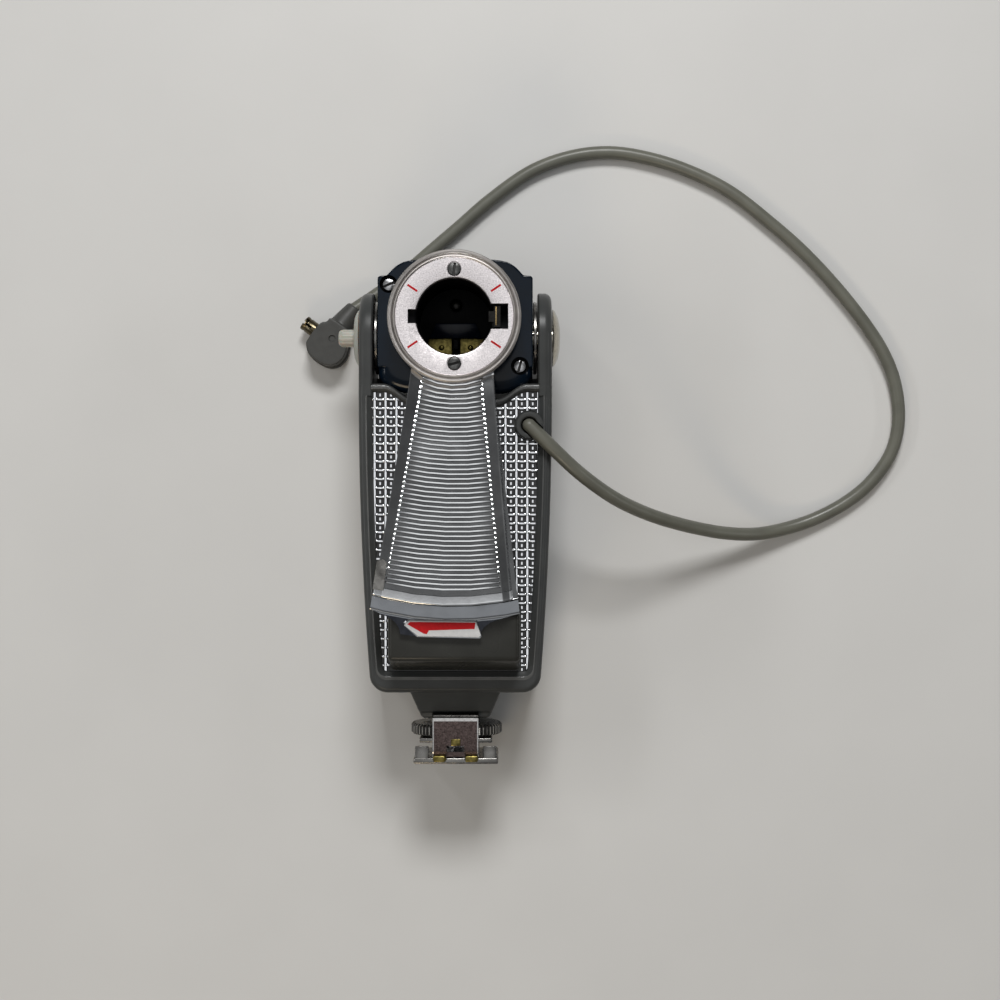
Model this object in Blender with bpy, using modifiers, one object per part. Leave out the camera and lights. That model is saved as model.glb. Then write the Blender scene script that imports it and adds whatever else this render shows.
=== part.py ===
"""Folding-fan flash bulb gun with a tilting head, a shoe foot and a sync cord.

Frame: metres. The gun lies on its rear cover, whose outer face is z = 0. +Z points out of the
front, +Y points from the foot to the head, and +X points to the cord's side.
"""

import math

import bmesh
import bpy
from mathutils import Matrix
from mathutils import Vector

MM = 0.001

# Fits shared by all pieces
PART_GAP = 0.3 * MM
RUN_GAP = 0.25 * MM

# Battery and the case around it
BATTERY_LENGTH = 50.0 * MM
BATTERY_WIDTH = 25.0 * MM
BATTERY_DEPTH = 15.5 * MM
CONTACT_SPACE = 4.5 * MM
CONTACT_THICK = 0.5 * MM
WALL = 2.0 * MM
COVER_FLOOR = 2.0 * MM
COVER_HEIGHT = 5.0 * MM
BODY_FRONT_Z = 28.2 * MM
BODY_HALF_WIDTH = 21.0 * MM
BODY_TAPER = 2.7 * MM
BODY_CORNER = 4.0 * MM
BODY_EDGE = 1.0 * MM
LIP_DIP = 3.1 * MM
LIP_OUTER_X = 15.6 * MM
LIP_INNER_X = 9.0 * MM

# Circuit inside the case
BOARD_THICK = 1.2 * MM
BOARD_LIFT = 0.8 * MM
PEG_RADIUS = 1.5 * MM
PEG_X = 11.0 * MM
PEG_INSET_Y = 8.0 * MM
CAPACITOR_RADIUS = 2.6 * MM
CAPACITOR_LENGTH = 19.0 * MM
RESISTOR_RADIUS = 1.2 * MM
RESISTOR_LENGTH = 7.0 * MM
WIRE_RADIUS = 0.45 * MM

# Front of the case
PLATE_THICK = 0.3 * MM
PLATE_BORDER = 2.3 * MM
PLATE_FOOT_BORDER = 4.5 * MM
REST_HALF_WIDTH = 14.0 * MM
REST_OFFSET = 1.6 * MM
REST_DEPTH_Y = 10.4 * MM
REST_DRAFT = 3.0 * MM
REST_CLEARANCE = 0.8 * MM
REST_EDGE = 1.4 * MM

# Tilting head: the pivot runs along X
PIVOT_Y = 35.8 * MM
PIVOT_Z = 19.0 * MM
ARM_RADIUS = 9.5 * MM
ARM_THICK = 3.0 * MM
WASHER_THICK = 0.7 * MM
WASHER_RADIUS = 8.0 * MM
DRUM_RADIUS = 10.8 * MM
RECESS_GAP = 0.7 * MM
HEAD_FRONT = 10.3 * MM
HEAD_BACK = 10.0 * MM
HEAD_BACK_THICK = 3.0 * MM
HEAD_WALL = 1.8 * MM
HEAD_FRONT_WALL = 2.0 * MM
HEAD_TOP = 12.6 * MM
EAR_INSET = 1.8 * MM
EAR_DROP = 3.1 * MM
EAR_ROUND = 0.7 * MM
HEAD_FOOT = 11.3 * MM
HEAD_STEP = 0.3 * MM
LOBE_X = 9.0 * MM
LOBE_DROP = 4.9 * MM
LOBE_THICK = 3.2 * MM
BUSH_FLANGE_RADIUS = 6.25 * MM
BUSH_FLANGE_THICK = 1.8 * MM
BUSH_SHANK_RADIUS = 3.7 * MM
CAP_RADIUS = 6.4 * MM
CAP_THICK = 1.7 * MM
CAP_SHANK_RADIUS = 3.0 * MM

# Bulb socket: its axis runs along Z, a little above the pivot
HUB_RISE = 3.1 * MM
SOCKET_RADIUS = 8.15 * MM
SOCKET_WALL = 3.25 * MM
SOCKET_BACK = 4.0 * MM
SOCKET_EAR_X = 13.9 * MM
SOCKET_EAR_HALF_Y = 5.0 * MM
SOCKET_EAR_THICK = 1.5 * MM
BLOCK_THICK = 3.0 * MM
LEDGE_THICK = 3.7 * MM
LEDGE_DEPTH_Y = 3.3 * MM
SIDE_CONTACT_WIDTH = 4.2 * MM
SIDE_CONTACT_DEPTH = 2.1 * MM
SIDE_CONTACT_HEIGHT = 2.3 * MM
POST_HALF_WIDTH = 0.6 * MM
POST_HEIGHT = 3.2 * MM
GROUND_PIN_RADIUS = 1.4 * MM
GROUND_PIN_HEIGHT = 1.8 * MM
GROUND_PIN_Y = 4.2 * MM

# Bezel ring that holds the fan on the socket tube
BEZEL_THICK = 1.6 * MM
RIM_HEIGHT = 0.6 * MM
RIM_WIDTH = 1.5 * MM
PIN_NOTCH_DEPTH = 1.7 * MM
PIN_NOTCH_WIDTH = 3.0 * MM
LATCH_NOTCH_DEPTH = 3.3 * MM
LATCH_NOTCH_WIDTH = 5.4 * MM
BEZEL_SCREW_R = 10.0 * MM

# Reflector fan
LEAF_COUNT = 13
LEAF_THICK = 0.3 * MM
LEAF_GAP = 0.2 * MM
FAN_BACK_GAP = 0.6 * MM
EYE_GAP = 0.4 * MM
EYE_WIDTH = 2.4 * MM
EYE_SEGMENTS = 24
PETAL_EDGES = 5
CONE_SLOPE = math.tan(math.radians(12.0))
FAN_FOOT_MARGIN = 17.8 * MM
LEAF_HALF_ANGLE = math.radians(14.3)
PETAL_ROWS = 6
RIB_PITCH = 1.0 * MM
RIB_HEIGHT = 0.3 * MM
RIB_START = 1.6 * MM
RIB_MARGIN = 2.1 * MM
PULL_OVERHANG = 3.4 * MM
PULL_HALF_ANGLE = math.radians(14.6)
TAB_LENGTH = 2.9 * MM
TAB_HALF_WIDTH = 6.7 * MM
TAB_PLATE_THICK = 0.4 * MM
TAB_PLATE_LENGTH = 3.6 * MM
TAB_PLATE_HALF_WIDTH = 5.9 * MM
FAN_REST_TURN = math.radians(-1.7)

# Ejector: a button on the pivot axis pushes a slide with the bulb latch
BUTTON_RADIUS = 1.95 * MM
BUTTON_PROUD = 2.9 * MM
EJECT_TRAVEL = 1.5 * MM
SLIDE_THICK = 0.8 * MM
SLIDE_HALF_Y = 2.0 * MM
LATCH_THICK = 1.4 * MM
LATCH_HALF_WIDTH = 2.2 * MM
LATCH_NOSE = 1.1 * MM
LATCH_NOSE_HEIGHT = 1.6 * MM
SPRING_RADIUS = 1.3 * MM
SPRING_WIRE = 0.2 * MM
SPRING_TURNS = 3
SPRING_DROP_Y = 3.4 * MM

# Shoe foot below the case: its axis runs along Y
NECK_LENGTH = 5.9 * MM
NECK_HALF_TOP = 10.2 * MM
NECK_HALF_FOOT = 7.4 * MM
FOOT_AXIS_Z = 14.6 * MM
WHEEL_RADIUS = 10.1 * MM
WHEEL_THICK = 2.4 * MM
WHEEL_DROP = 1.9 * MM
WHEEL_TEETH = 48
KNURL_DEPTH = 0.4 * MM
CLAMP_THICK = 1.0 * MM
CLAMP_HALF = 8.0 * MM
CLAMP_TRAVEL = 1.2 * MM
STUD_RADIUS = 2.5 * MM
STUD_TAIL_RADIUS = 1.8 * MM
SHOE_SPACE = 1.9 * MM
BRACKET_HALF_WIDTH = 5.05 * MM
BRACKET_THICK = 1.0 * MM
BRACKET_GAP = 0.5 * MM
BRACKET_LAP = 4.2 * MM
BRACKET_NOTCH = 1.85 * MM
FOOT_HALF_WIDTH = 9.3 * MM
FOOT_HALF_DEPTH = 9.0 * MM
FOOT_THICK = 1.4 * MM
FOOT_EDGE = 0.35 * MM
FOOT_TAB_RISE = 2.5 * MM
FOOT_TAB_THICK = 0.6 * MM
FOOT_TAB_SPACE = 0.9 * MM

# Screws
SCREW_HEAD_RADIUS = 1.45 * MM
SCREW_HEAD = 0.8 * MM
SCREW_SHANK_RADIUS = 0.8 * MM
SCREW_SLOT = 0.4 * MM
SCREW_SLOT_TURN = math.radians(40.0)
HEAD_SCREW_LEFT_INSET = 2.4 * MM
HEAD_SCREW_LEFT_RISE = 10.9 * MM
HEAD_SCREW_RIGHT_INSET = 2.8 * MM
HEAD_SCREW_RIGHT_DROP = 6.8 * MM
COVER_SCREW_X = 10.0 * MM
COVER_BOSS_RADIUS = 2.0 * MM

# Cord, its bush and its plug
CORD_RADIUS = 1.5 * MM
CORD_STEP = 5.0 * MM
CORD_EXIT = (16.0 * MM, 16.1 * MM)
CORD_EXIT_TURN = math.atan2(-0.69, 0.72)
CORD_BUSH_RADIUS = 3.1 * MM
CORD_BUSH_HEIGHT = 3.1 * MM
CORD_BUSH_SHANK = 2.5 * MM
CORD_BUSH_DEPTH = 3.5 * MM
PLUG_CENTRE = (-30.0 * MM, 35.5 * MM)
PLUG_TURN = math.atan2(0.8, 0.6)
PLUG_THICK = 6.8 * MM
PLUG_HALF_WIDTH = 3.8 * MM
PLUG_ROUND_END = -5.4 * MM
PLUG_SQUARE_END = 4.2 * MM
PLUG_TAIL_END = 10.0 * MM
PLUG_TAIL_RADIUS = 2.9 * MM
PLUG_TAIL_TIP_RADIUS = 2.0 * MM
PLUG_TIP_OFFSET = 1.1 * MM
SLEEVE_RADIUS = 1.7 * MM
SLEEVE_WALL = 0.4 * MM
SLEEVE_LENGTH = 3.3 * MM
PLUG_PIN_RADIUS = 0.4 * MM

# Route of the cord's centre line from the bush to the plug's tail, in millimetres
CORD_ROUTE = (
    (16.0, 16.1, 30.5), (18.5, 13.7, 30.6), (21.6, 10.7, 30.2), (25.9, 6.7, 29.0),
    (30.4, 3.2, 26.9), (34.9, 0.3, 24.4), (39.4, -1.9, 21.6), (44.1, -3.7, 18.6),
    (48.8, -5.1, 15.4), (54.8, -6.5, 11.4), (60.9, -7.5, 8.0), (68.1, -7.8, 4.7),
    (75.3, -6.6, 2.6), (82.4, -4.3, 1.7), (89.3, -0.7, 1.5), (95.1, 4.0, 1.5),
    (99.7, 10.4, 1.5), (101.6, 17.3, 1.5), (101.3, 24.7, 1.5), (99.2, 31.8, 1.5),
    (95.1, 39.0, 1.5), (88.2, 48.0, 1.5), (80.1, 56.8, 1.5), (72.0, 64.0, 1.5),
    (62.8, 71.1, 1.5), (53.5, 75.8, 1.5), (44.3, 78.8, 1.5), (35.1, 80.2, 1.5),
    (25.9, 79.2, 1.5), (16.6, 75.7, 1.5), (7.4, 69.2, 1.5), (0.5, 63.2, 1.5),
    (-6.5, 57.2, 1.5), (-13.2, 51.4, 1.7), (-18.6, 47.4, 2.4), (-23.74, 43.84, 3.4),
)

# Levels and places that follow from the sizes above
HOUSING_BACK_Z = COVER_HEIGHT + PART_GAP
LIP_TOP_Y = PIVOT_Y - DRUM_RADIUS - RECESS_GAP
LIP_LOW_Y = LIP_TOP_Y - LIP_DIP
CAVITY_TOP_Y = LIP_LOW_Y - WALL
CAVITY_FOOT_Y = CAVITY_TOP_Y - BATTERY_LENGTH - 2 * CONTACT_SPACE
BODY_FOOT_Y = CAVITY_FOOT_Y - WALL
PLATE_BACK_Z = BODY_FRONT_Z + PART_GAP
PLATE_FRONT_Z = PLATE_BACK_Z + PLATE_THICK
BATTERY_BACK_Z = COVER_FLOOR + PART_GAP
BATTERY_FRONT_Z = BATTERY_BACK_Z + BATTERY_DEPTH
BATTERY_TOP_Y = CAVITY_TOP_Y - CONTACT_SPACE
BATTERY_FOOT_Y = CAVITY_FOOT_Y + CONTACT_SPACE
BOARD_BACK_Z = BATTERY_FRONT_Z + BOARD_LIFT
BOARD_FRONT_Z = BOARD_BACK_Z + BOARD_THICK
ARM_INNER_X = BODY_HALF_WIDTH - ARM_THICK
HEAD_HALF_WIDTH = ARM_INNER_X - WASHER_THICK - 2 * RUN_GAP
HEAD_FRONT_Z = PIVOT_Z + HEAD_FRONT
HEAD_BACK_Z = PIVOT_Z - HEAD_BACK
HEAD_SPLIT_Z = HEAD_BACK_Z + HEAD_BACK_THICK
HEAD_INSIDE_Z = HEAD_FRONT_Z - HEAD_FRONT_WALL
HUB_Y = PIVOT_Y + HUB_RISE
EAR_X = HEAD_HALF_WIDTH - EAR_INSET
LEAF_RADIUS = HUB_Y - CAVITY_FOOT_Y - FAN_FOOT_MARGIN
PULL_RADIUS = LEAF_RADIUS + PULL_OVERHANG
REST_HEAD_Y = HUB_Y - LEAF_RADIUS - REST_OFFSET
TUBE_RADIUS = SOCKET_RADIUS + SOCKET_WALL
TUBE_BACK_Z = PIVOT_Z - SOCKET_BACK
EYE_INNER = TUBE_RADIUS + EYE_GAP
EYE_OUTER = EYE_INNER + EYE_WIDTH
LEAF_PITCH = LEAF_THICK + LEAF_GAP
FAN_BACK_Z = HEAD_FRONT_Z + FAN_BACK_GAP
FAN_FRONT_Z = FAN_BACK_Z + (LEAF_COUNT - 1) * LEAF_PITCH + LEAF_THICK
BEZEL_BACK_Z = FAN_FRONT_Z + PART_GAP
BEZEL_FACE_Z = BEZEL_BACK_Z + BEZEL_THICK
TUBE_FRONT_Z = BEZEL_BACK_Z - PART_GAP
BLOCK_FRONT_Z = TUBE_BACK_Z + BLOCK_THICK
SEAT_Z = BLOCK_FRONT_Z + PART_GAP
SLIDE_BACK_Z = HEAD_SPLIT_Z + 3 * PART_GAP
SLIDE_WALL_X = -(HEAD_HALF_WIDTH - HEAD_WALL) + 2 * RUN_GAP
LATCH_X = SOCKET_RADIUS + RUN_GAP
NECK_FOOT_Y = BODY_FOOT_Y - NECK_LENGTH
BRACKET_HALF_GAP = WHEEL_RADIUS + BRACKET_GAP
NECK_HALF_DEPTH = BRACKET_HALF_GAP - PART_GAP
WHEEL_TOP_Y = NECK_FOOT_Y - WHEEL_DROP
CLAMP_TOP_Y = WHEEL_TOP_Y - WHEEL_THICK - PART_GAP
WEB_TOP_Y = CLAMP_TOP_Y - CLAMP_THICK - SHOE_SPACE
WEB_FOOT_Y = WEB_TOP_Y - BRACKET_THICK
FOOT_TOP_Y = WEB_FOOT_Y - PART_GAP
FOOT_SOLE_Y = FOOT_TOP_Y - FOOT_THICK

# Axes of the three ways that a flat outline can be extruded
ALONG_Z = Matrix.Identity(4)
ALONG_X = Matrix(((0, 0, 1, 0), (1, 0, 0, 0), (0, 1, 0, 0), (0, 0, 0, 1)))
ALONG_Y = Matrix(((0, 1, 0, 0), (0, 0, 1, 0), (1, 0, 0, 0), (0, 0, 0, 1)))

for old in list(bpy.data.objects):
    bpy.data.objects.remove(old, do_unlink=True)

PARTS = bpy.data.collections.new("flash_bulb_gun")
CUTTERS = bpy.data.collections.new("cutters")
bpy.context.scene.collection.children.link(PARTS)
bpy.context.scene.collection.children.link(CUTTERS)


def material(name, colour, roughness, metallic=0.0):
    """A plain Principled finish."""
    made = bpy.data.materials.new(name)
    made.use_nodes = True
    shader = made.node_tree.nodes["Principled BSDF"]
    shader.inputs["Base Color"].default_value = (*colour, 1.0)
    shader.inputs["Roughness"].default_value = roughness
    shader.inputs["Metallic"].default_value = metallic
    return made


GREY = material("grey_plastic", (0.085, 0.09, 0.085), 0.35)
NAVY = material("navy_plastic", (0.012, 0.018, 0.028), 0.22)
BLACK = material("black_plastic", (0.01, 0.01, 0.01), 0.45)
CHROME = material("chrome", (0.75, 0.75, 0.74), 0.12, 1.0)
SATIN = material("satin_silver", (0.62, 0.61, 0.6), 0.38, 1.0)
BRASS = material("brass", (0.6, 0.46, 0.2), 0.3, 1.0)
STEEL = material("dark_steel", (0.2, 0.2, 0.2), 0.35, 1.0)
RUBBER = material("grey_cord", (0.15, 0.15, 0.13), 0.5)
PALE = material("pale_plastic", (0.5, 0.49, 0.46), 0.4)
PAPER = material("paper_label", (0.3, 0.12, 0.08), 0.6)
BOARD = material("brown_board", (0.16, 0.08, 0.03), 0.6)
WHITE = material("white_enamel", (0.7, 0.7, 0.7), 0.35)


def mesh_from(fill):
    """A mesh made by a function that fills an empty bmesh."""
    shape = bmesh.new()
    fill(shape)
    mesh = bpy.data.meshes.new("shape")
    shape.to_mesh(mesh)
    shape.free()
    return mesh


def part(name, mesh, finish, parent=None, location=(0, 0, 0), turn=0.0):
    """A named sub-part with its own finish, hung on an empty where it moves."""
    made = bpy.data.objects.new(name, mesh)
    PARTS.objects.link(made)
    made.location = location
    made.rotation_euler = (0, 0, turn)
    if not mesh.materials:
        mesh.materials.append(finish)
    if parent:
        made.parent = parent
        made.matrix_parent_inverse = Matrix.Translation(-parent.location)
    return made


def axis(name, location):
    """An empty on a joint's axis."""
    made = bpy.data.objects.new(name, None)
    PARTS.objects.link(made)
    made.location = location
    made.empty_display_size = 0.01
    return made


def combine(target, operation, *meshes):
    """Join or cut the target with tool meshes that stay in the cutters collection."""
    for mesh in meshes:
        tool = bpy.data.objects.new(target.name + "_tool", mesh)
        CUTTERS.objects.link(tool)
        tool.hide_render = True
        tool.display_type = "WIRE"
        step = target.modifiers.new(operation.lower(), "BOOLEAN")
        step.operation = operation
        step.solver = "EXACT"
        step.object = tool
    return target


def cut(target, *meshes):
    return combine(target, "DIFFERENCE", *meshes)


def join(target, *meshes):
    return combine(target, "UNION", *meshes)


def soften(target, width, segments=2):
    """Round the sharp edges that the part has at this point."""
    step = target.modifiers.new("edges", "BEVEL")
    step.width = width
    step.segments = segments
    step.limit_method = "ANGLE"
    step.angle_limit = math.radians(50)
    return target


def arc(centre, radius, start, end, steps):
    """Points on a circular arc, angles in degrees."""
    turns = (math.radians(start + (end - start) * i / steps) for i in range(steps + 1))
    return [(centre[0] + radius * math.cos(a), centre[1] + radius * math.sin(a)) for a in turns]


def mirrored(half):
    """A closed outline from its right half, which runs from the bottom to the top."""
    return half + [(-x, y) for x, y in reversed(half)]


def extruded(loops, low, high, way=ALONG_Z):
    """A flat outline with holes, filled and extruded from low to high along its axis."""
    curve = bpy.data.curves.new("outline", "CURVE")
    curve.dimensions = "2D"
    curve.fill_mode = "BOTH"
    curve.extrude = (high - low) / 2
    for loop in loops:
        spline = curve.splines.new("POLY")
        spline.points.add(len(loop) - 1)
        for point, (x, y) in zip(spline.points, loop):
            point.co = (x, y, 0, 1)
        spline.use_cyclic_u = True
    holder = bpy.data.objects.new("outline", curve)
    CUTTERS.objects.link(holder)
    graph = bpy.context.evaluated_depsgraph_get()
    mesh = bpy.data.meshes.new_from_object(holder.evaluated_get(graph))
    bpy.data.objects.remove(holder)
    shape = bmesh.new()
    shape.from_mesh(mesh)
    bmesh.ops.remove_doubles(shape, verts=shape.verts, dist=0.000001)
    bmesh.ops.recalc_face_normals(shape, faces=shape.faces)
    shape.to_mesh(mesh)
    shape.free()
    mesh.transform(way @ Matrix.Translation((0, 0, (low + high) / 2)))
    return mesh


def box(low, high):
    """A block between two corners."""
    size = Vector(high) - Vector(low)
    middle = (Vector(high) + Vector(low)) / 2
    place = Matrix.Translation(middle) @ Matrix.Diagonal((*size, 1))
    return mesh_from(lambda shape: bmesh.ops.create_cube(shape, size=1, matrix=place))


def rod(centre, way, low, high, radius, sides=24, tip=None):
    """A cylinder or cone along an axis, at a centre given in the two other directions."""
    offset = Matrix.Translation((centre[0], centre[1], (low + high) / 2))
    end = radius if tip is None else tip

    def fill(shape):
        bmesh.ops.create_cone(
            shape, cap_ends=True, segments=sides, radius1=radius, radius2=end,
            depth=high - low, matrix=way @ offset)

    return mesh_from(fill)


def turned(name, profile, finish, place, closed=False, steps=32, parent=None):
    """A profile of (radius, height) points, from top to bottom on its outer side, turned about Z."""
    mesh = bpy.data.meshes.new(name)
    count = len(profile)
    edges = [(i, i + 1) for i in range(count - 1)]
    if closed:
        edges.append((count - 1, 0))
    mesh.from_pydata([(r, 0, h) for r, h in profile], edges, [])
    made = part(name, mesh, finish)
    made.matrix_world = place
    screw = made.modifiers.new("turn", "SCREW")
    screw.axis = "Z"
    screw.steps = steps
    screw.render_steps = steps
    screw.use_merge_vertices = True
    screw.merge_threshold = 0.00001
    if parent:
        made.parent = parent
        made.matrix_parent_inverse = parent.matrix_world.inverted()
    return made


def side_half(y):
    """Half the case's width at a height: full at the top, drawn in toward the foot."""
    drop = (LIP_TOP_Y - y) / (LIP_TOP_Y - BODY_FOOT_Y)
    return BODY_HALF_WIDTH - BODY_TAPER * drop ** 2


def case_outline(inset, foot_inset):
    """The case seen from the front, drawn in by a border, with the dip that clears the head."""
    foot = BODY_FOOT_Y + foot_inset
    corner = max(BODY_CORNER - inset, MM)
    corner_y = foot + corner
    corner_x = side_half(corner_y) - inset - corner
    top = LIP_TOP_Y - inset
    half = arc((corner_x, corner_y), corner, -90, 0, 5)
    for i in range(1, 7):
        y = corner_y + (top - corner_y) * i / 6
        half.append((side_half(y) - inset, y))
    for i in range(7):
        dip = LIP_DIP * (1 - math.cos(math.pi * i / 6)) / 2
        half.append((LIP_OUTER_X + (LIP_INNER_X - LIP_OUTER_X) * i / 6, top - dip))
    return mirrored(half)


def round_top_edge(mesh, level, width):
    """Round only the edges of a flat face at one level."""
    shape = bmesh.new()
    shape.from_mesh(mesh)
    rim = [e for e in shape.edges
           if all(abs(v.co.z - level) < 0.000001 for v in e.verts) and len(e.link_faces) == 2
           and abs(e.calc_face_angle(0)) > 1]
    bmesh.ops.bevel(shape, geom=rim, offset=width, segments=2, profile=0.5, affect="EDGES")
    shape.to_mesh(mesh)
    shape.free()
    return mesh


def cord_points():
    """Evenly spaced points on a smooth curve through the cord's route."""
    route = [Vector(p) * MM for p in CORD_ROUTE]
    route = [2 * route[0] - route[1]] + route + [2 * route[-1] - route[-2]]
    fine = []
    for a, b, c, d in zip(route, route[1:], route[2:], route[3:]):
        for i in range(12):
            t = i / 12
            fine.append(0.5 * (2 * b + (c - a) * t + (2 * a - 5 * b + 4 * c - d) * t ** 2
                               + (3 * b - a - 3 * c + d) * t ** 3))
    fine.append(route[-2])
    lengths = [0.0]
    for before, after in zip(fine, fine[1:]):
        lengths.append(lengths[-1] + (after - before).length)
    count = round(lengths[-1] / CORD_STEP)
    points = []
    here = 0
    for i in range(count + 1):
        goal = lengths[-1] * i / count
        while here < len(fine) - 2 and lengths[here + 1] < goal:
            here += 1
        share = (goal - lengths[here]) / (lengths[here + 1] - lengths[here])
        points.append(fine[here].lerp(fine[here + 1], share))
    print("cord length in metres", round(lengths[-1], 4))
    return points


def wire(name, run, radius, finish, parent=None, resolution=2):
    """A round wire with closed ends along a run of points."""
    curve = bpy.data.curves.new(name, "CURVE")
    curve.dimensions = "3D"
    curve.bevel_depth = radius
    curve.bevel_resolution = resolution
    curve.use_fill_caps = True
    spline = curve.splines.new("POLY")
    spline.points.add(len(run) - 1)
    for point, place in zip(spline.points, run):
        point.co = (*place, 1)
    return part(name, curve, finish, parent)


def screw(name, centre, seat, reach, parent=None):
    """A slotted screw along Z; with a negative reach its head is at the back."""
    toward = 1 if reach > 0 else -1
    ends = sorted((seat, seat + toward * SCREW_HEAD))
    made = part(name, rod(centre, ALONG_Z, *ends, SCREW_HEAD_RADIUS, 20), STEEL, parent)
    ends = sorted((seat - reach, seat + toward * SCREW_HEAD / 2))
    join(made, rod(centre, ALONG_Z, *ends, SCREW_SHANK_RADIUS, 12))
    slot = box((-2 * MM, -SCREW_SLOT / 2, -SCREW_SLOT), (2 * MM, SCREW_SLOT / 2, SCREW_SLOT))
    face = seat + toward * SCREW_HEAD
    slot.transform(Matrix.Translation((*centre, face)) @ Matrix.Rotation(SCREW_SLOT_TURN, 4, "Z"))
    cut(made, slot)


# Joint axes
HEAD_AXIS = axis("head_axis", (0, PIVOT_Y, PIVOT_Z))
FAN_AXIS = axis("fan_axis", (0, HUB_Y, FAN_BACK_Z))
EJECT_AXIS = axis("eject_axis", (0, PIVOT_Y, PIVOT_Z))
CLAMP_AXIS = axis("clamp_axis", (0, WHEEL_TOP_Y, FOOT_AXIS_Z))


def build_front_housing():
    """Hollow case with two arms for the head, the neck of the foot, bosses and pegs."""
    shell = extruded([case_outline(0, 0)], HOUSING_BACK_Z, BODY_FRONT_Z)
    housing = part("front_housing", round_top_edge(shell, BODY_FRONT_Z, BODY_EDGE), GREY)
    cut(housing, extruded([case_outline(WALL, WALL)], HOUSING_BACK_Z - MM, BODY_FRONT_Z - WALL))
    root_y = LIP_TOP_Y - 0.75 * WALL
    profile = [(root_y, PIVOT_Z - ARM_RADIUS)]
    profile += arc((PIVOT_Y, PIVOT_Z), ARM_RADIUS, -90, 90, 16)
    profile += [(root_y, PIVOT_Z + ARM_RADIUS)]
    for side in (-1, 1):
        ends = sorted((side * ARM_INNER_X, side * BODY_HALF_WIDTH))
        hole = BUSH_SHANK_RADIUS if side < 0 else CAP_SHANK_RADIUS
        join(housing, extruded([profile], *ends, ALONG_X))
        cut(housing, rod((PIVOT_Y, PIVOT_Z), ALONG_X, ends[0] - MM, ends[1] + MM, hole + PART_GAP))
    neck = [(NECK_HALF_FOOT, NECK_FOOT_Y), (NECK_HALF_TOP, BODY_FOOT_Y - PART_GAP)]
    low = FOOT_AXIS_Z - NECK_HALF_DEPTH
    high = FOOT_AXIS_Z + NECK_HALF_DEPTH
    join(housing, extruded([mirrored(neck)], low, high))
    waist = (NECK_HALF_TOP, BODY_FOOT_Y + WALL / 2, min(high, BODY_FRONT_Z - BODY_EDGE) - PART_GAP)
    join(housing, box((-waist[0], BODY_FOOT_Y - WALL, HOUSING_BACK_Z + PART_GAP), waist))
    peg_ends = (BOARD_FRONT_Z + PART_GAP, BODY_FRONT_Z - WALL / 2)
    for x in (-PEG_X, PEG_X):
        for y in (BATTERY_TOP_Y - PEG_INSET_Y, BATTERY_FOOT_Y + PEG_INSET_Y):
            join(housing, rod((x, y), ALONG_Z, *peg_ends, PEG_RADIUS, 12))
    boss = (COVER_SCREW_X, CAVITY_FOOT_Y + COVER_BOSS_RADIUS)
    boss_top = BOARD_BACK_Z - PART_GAP
    join(housing, rod(boss, ALONG_Z, HOUSING_BACK_Z, boss_top, COVER_BOSS_RADIUS))
    join(housing, box((boss[0] - COVER_BOSS_RADIUS, CAVITY_FOOT_Y - WALL / 2, HOUSING_BACK_Z),
                      (boss[0] + COVER_BOSS_RADIUS, boss[1], boss_top)))
    cut(housing, rod(boss, ALONG_Z, HOUSING_BACK_Z - MM, boss_top - MM, SCREW_SHANK_RADIUS + PART_GAP, 12))
    bush = rod(CORD_EXIT, ALONG_Z, BODY_FRONT_Z - 2 * WALL, BODY_FRONT_Z + MM, CORD_BUSH_SHANK + PART_GAP)
    cut(housing, bush)
    bracket_screw = (0, NECK_FOOT_Y + BRACKET_LAP / 2)
    cut(housing, rod(bracket_screw, ALONG_Z, low - MM, low + BRACKET_LAP, SCREW_SHANK_RADIUS + PART_GAP, 12))


def build_rear_cover():
    """Shallow tray that closes the back of the case, held by a screw at its foot."""
    tray = extruded([case_outline(0, 0)], 0, COVER_HEIGHT)
    cover = part("rear_cover", round_top_edge(tray, 0, BODY_EDGE), GREY)
    cut(cover, extruded([case_outline(WALL, WALL)], COVER_FLOOR, COVER_HEIGHT + MM))
    seat = SCREW_HEAD + PART_GAP
    centre = (COVER_SCREW_X, CAVITY_FOOT_Y + COVER_BOSS_RADIUS)
    cut(cover, rod(centre, ALONG_Z, -MM, seat, SCREW_HEAD_RADIUS + PART_GAP))
    cut(cover, rod(centre, ALONG_Z, -MM, COVER_FLOOR + MM, SCREW_SHANK_RADIUS + PART_GAP, 12))
    reach = HOUSING_BACK_Z - seat + 4 * MM
    screw("cover_screw", centre, seat - PART_GAP / 2, -reach)


def build_face_plate():
    """Thin embossed sheet on the front of the case, cut round the fan rest and the cord bush."""
    sheet = extruded([case_outline(PLATE_BORDER, PLATE_FOOT_BORDER)], PLATE_BACK_Z, PLATE_FRONT_Z)
    plate = part("face_plate", sheet, CHROME)
    room = REST_HALF_WIDTH + PART_GAP
    cut(plate, box((-room, BODY_FOOT_Y, PLATE_BACK_Z - MM), (room, REST_HEAD_Y + PART_GAP, PLATE_FRONT_Z + MM)))
    cut(plate, rod(CORD_EXIT, ALONG_Z, PLATE_BACK_Z - MM, PLATE_FRONT_Z + MM, CORD_BUSH_RADIUS + PART_GAP))


def leaf_level(radius):
    """Height of the rearmost leaf's back at a distance from the hub."""
    return FAN_BACK_Z + max(radius - EYE_OUTER, 0) * CONE_SLOPE


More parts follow.
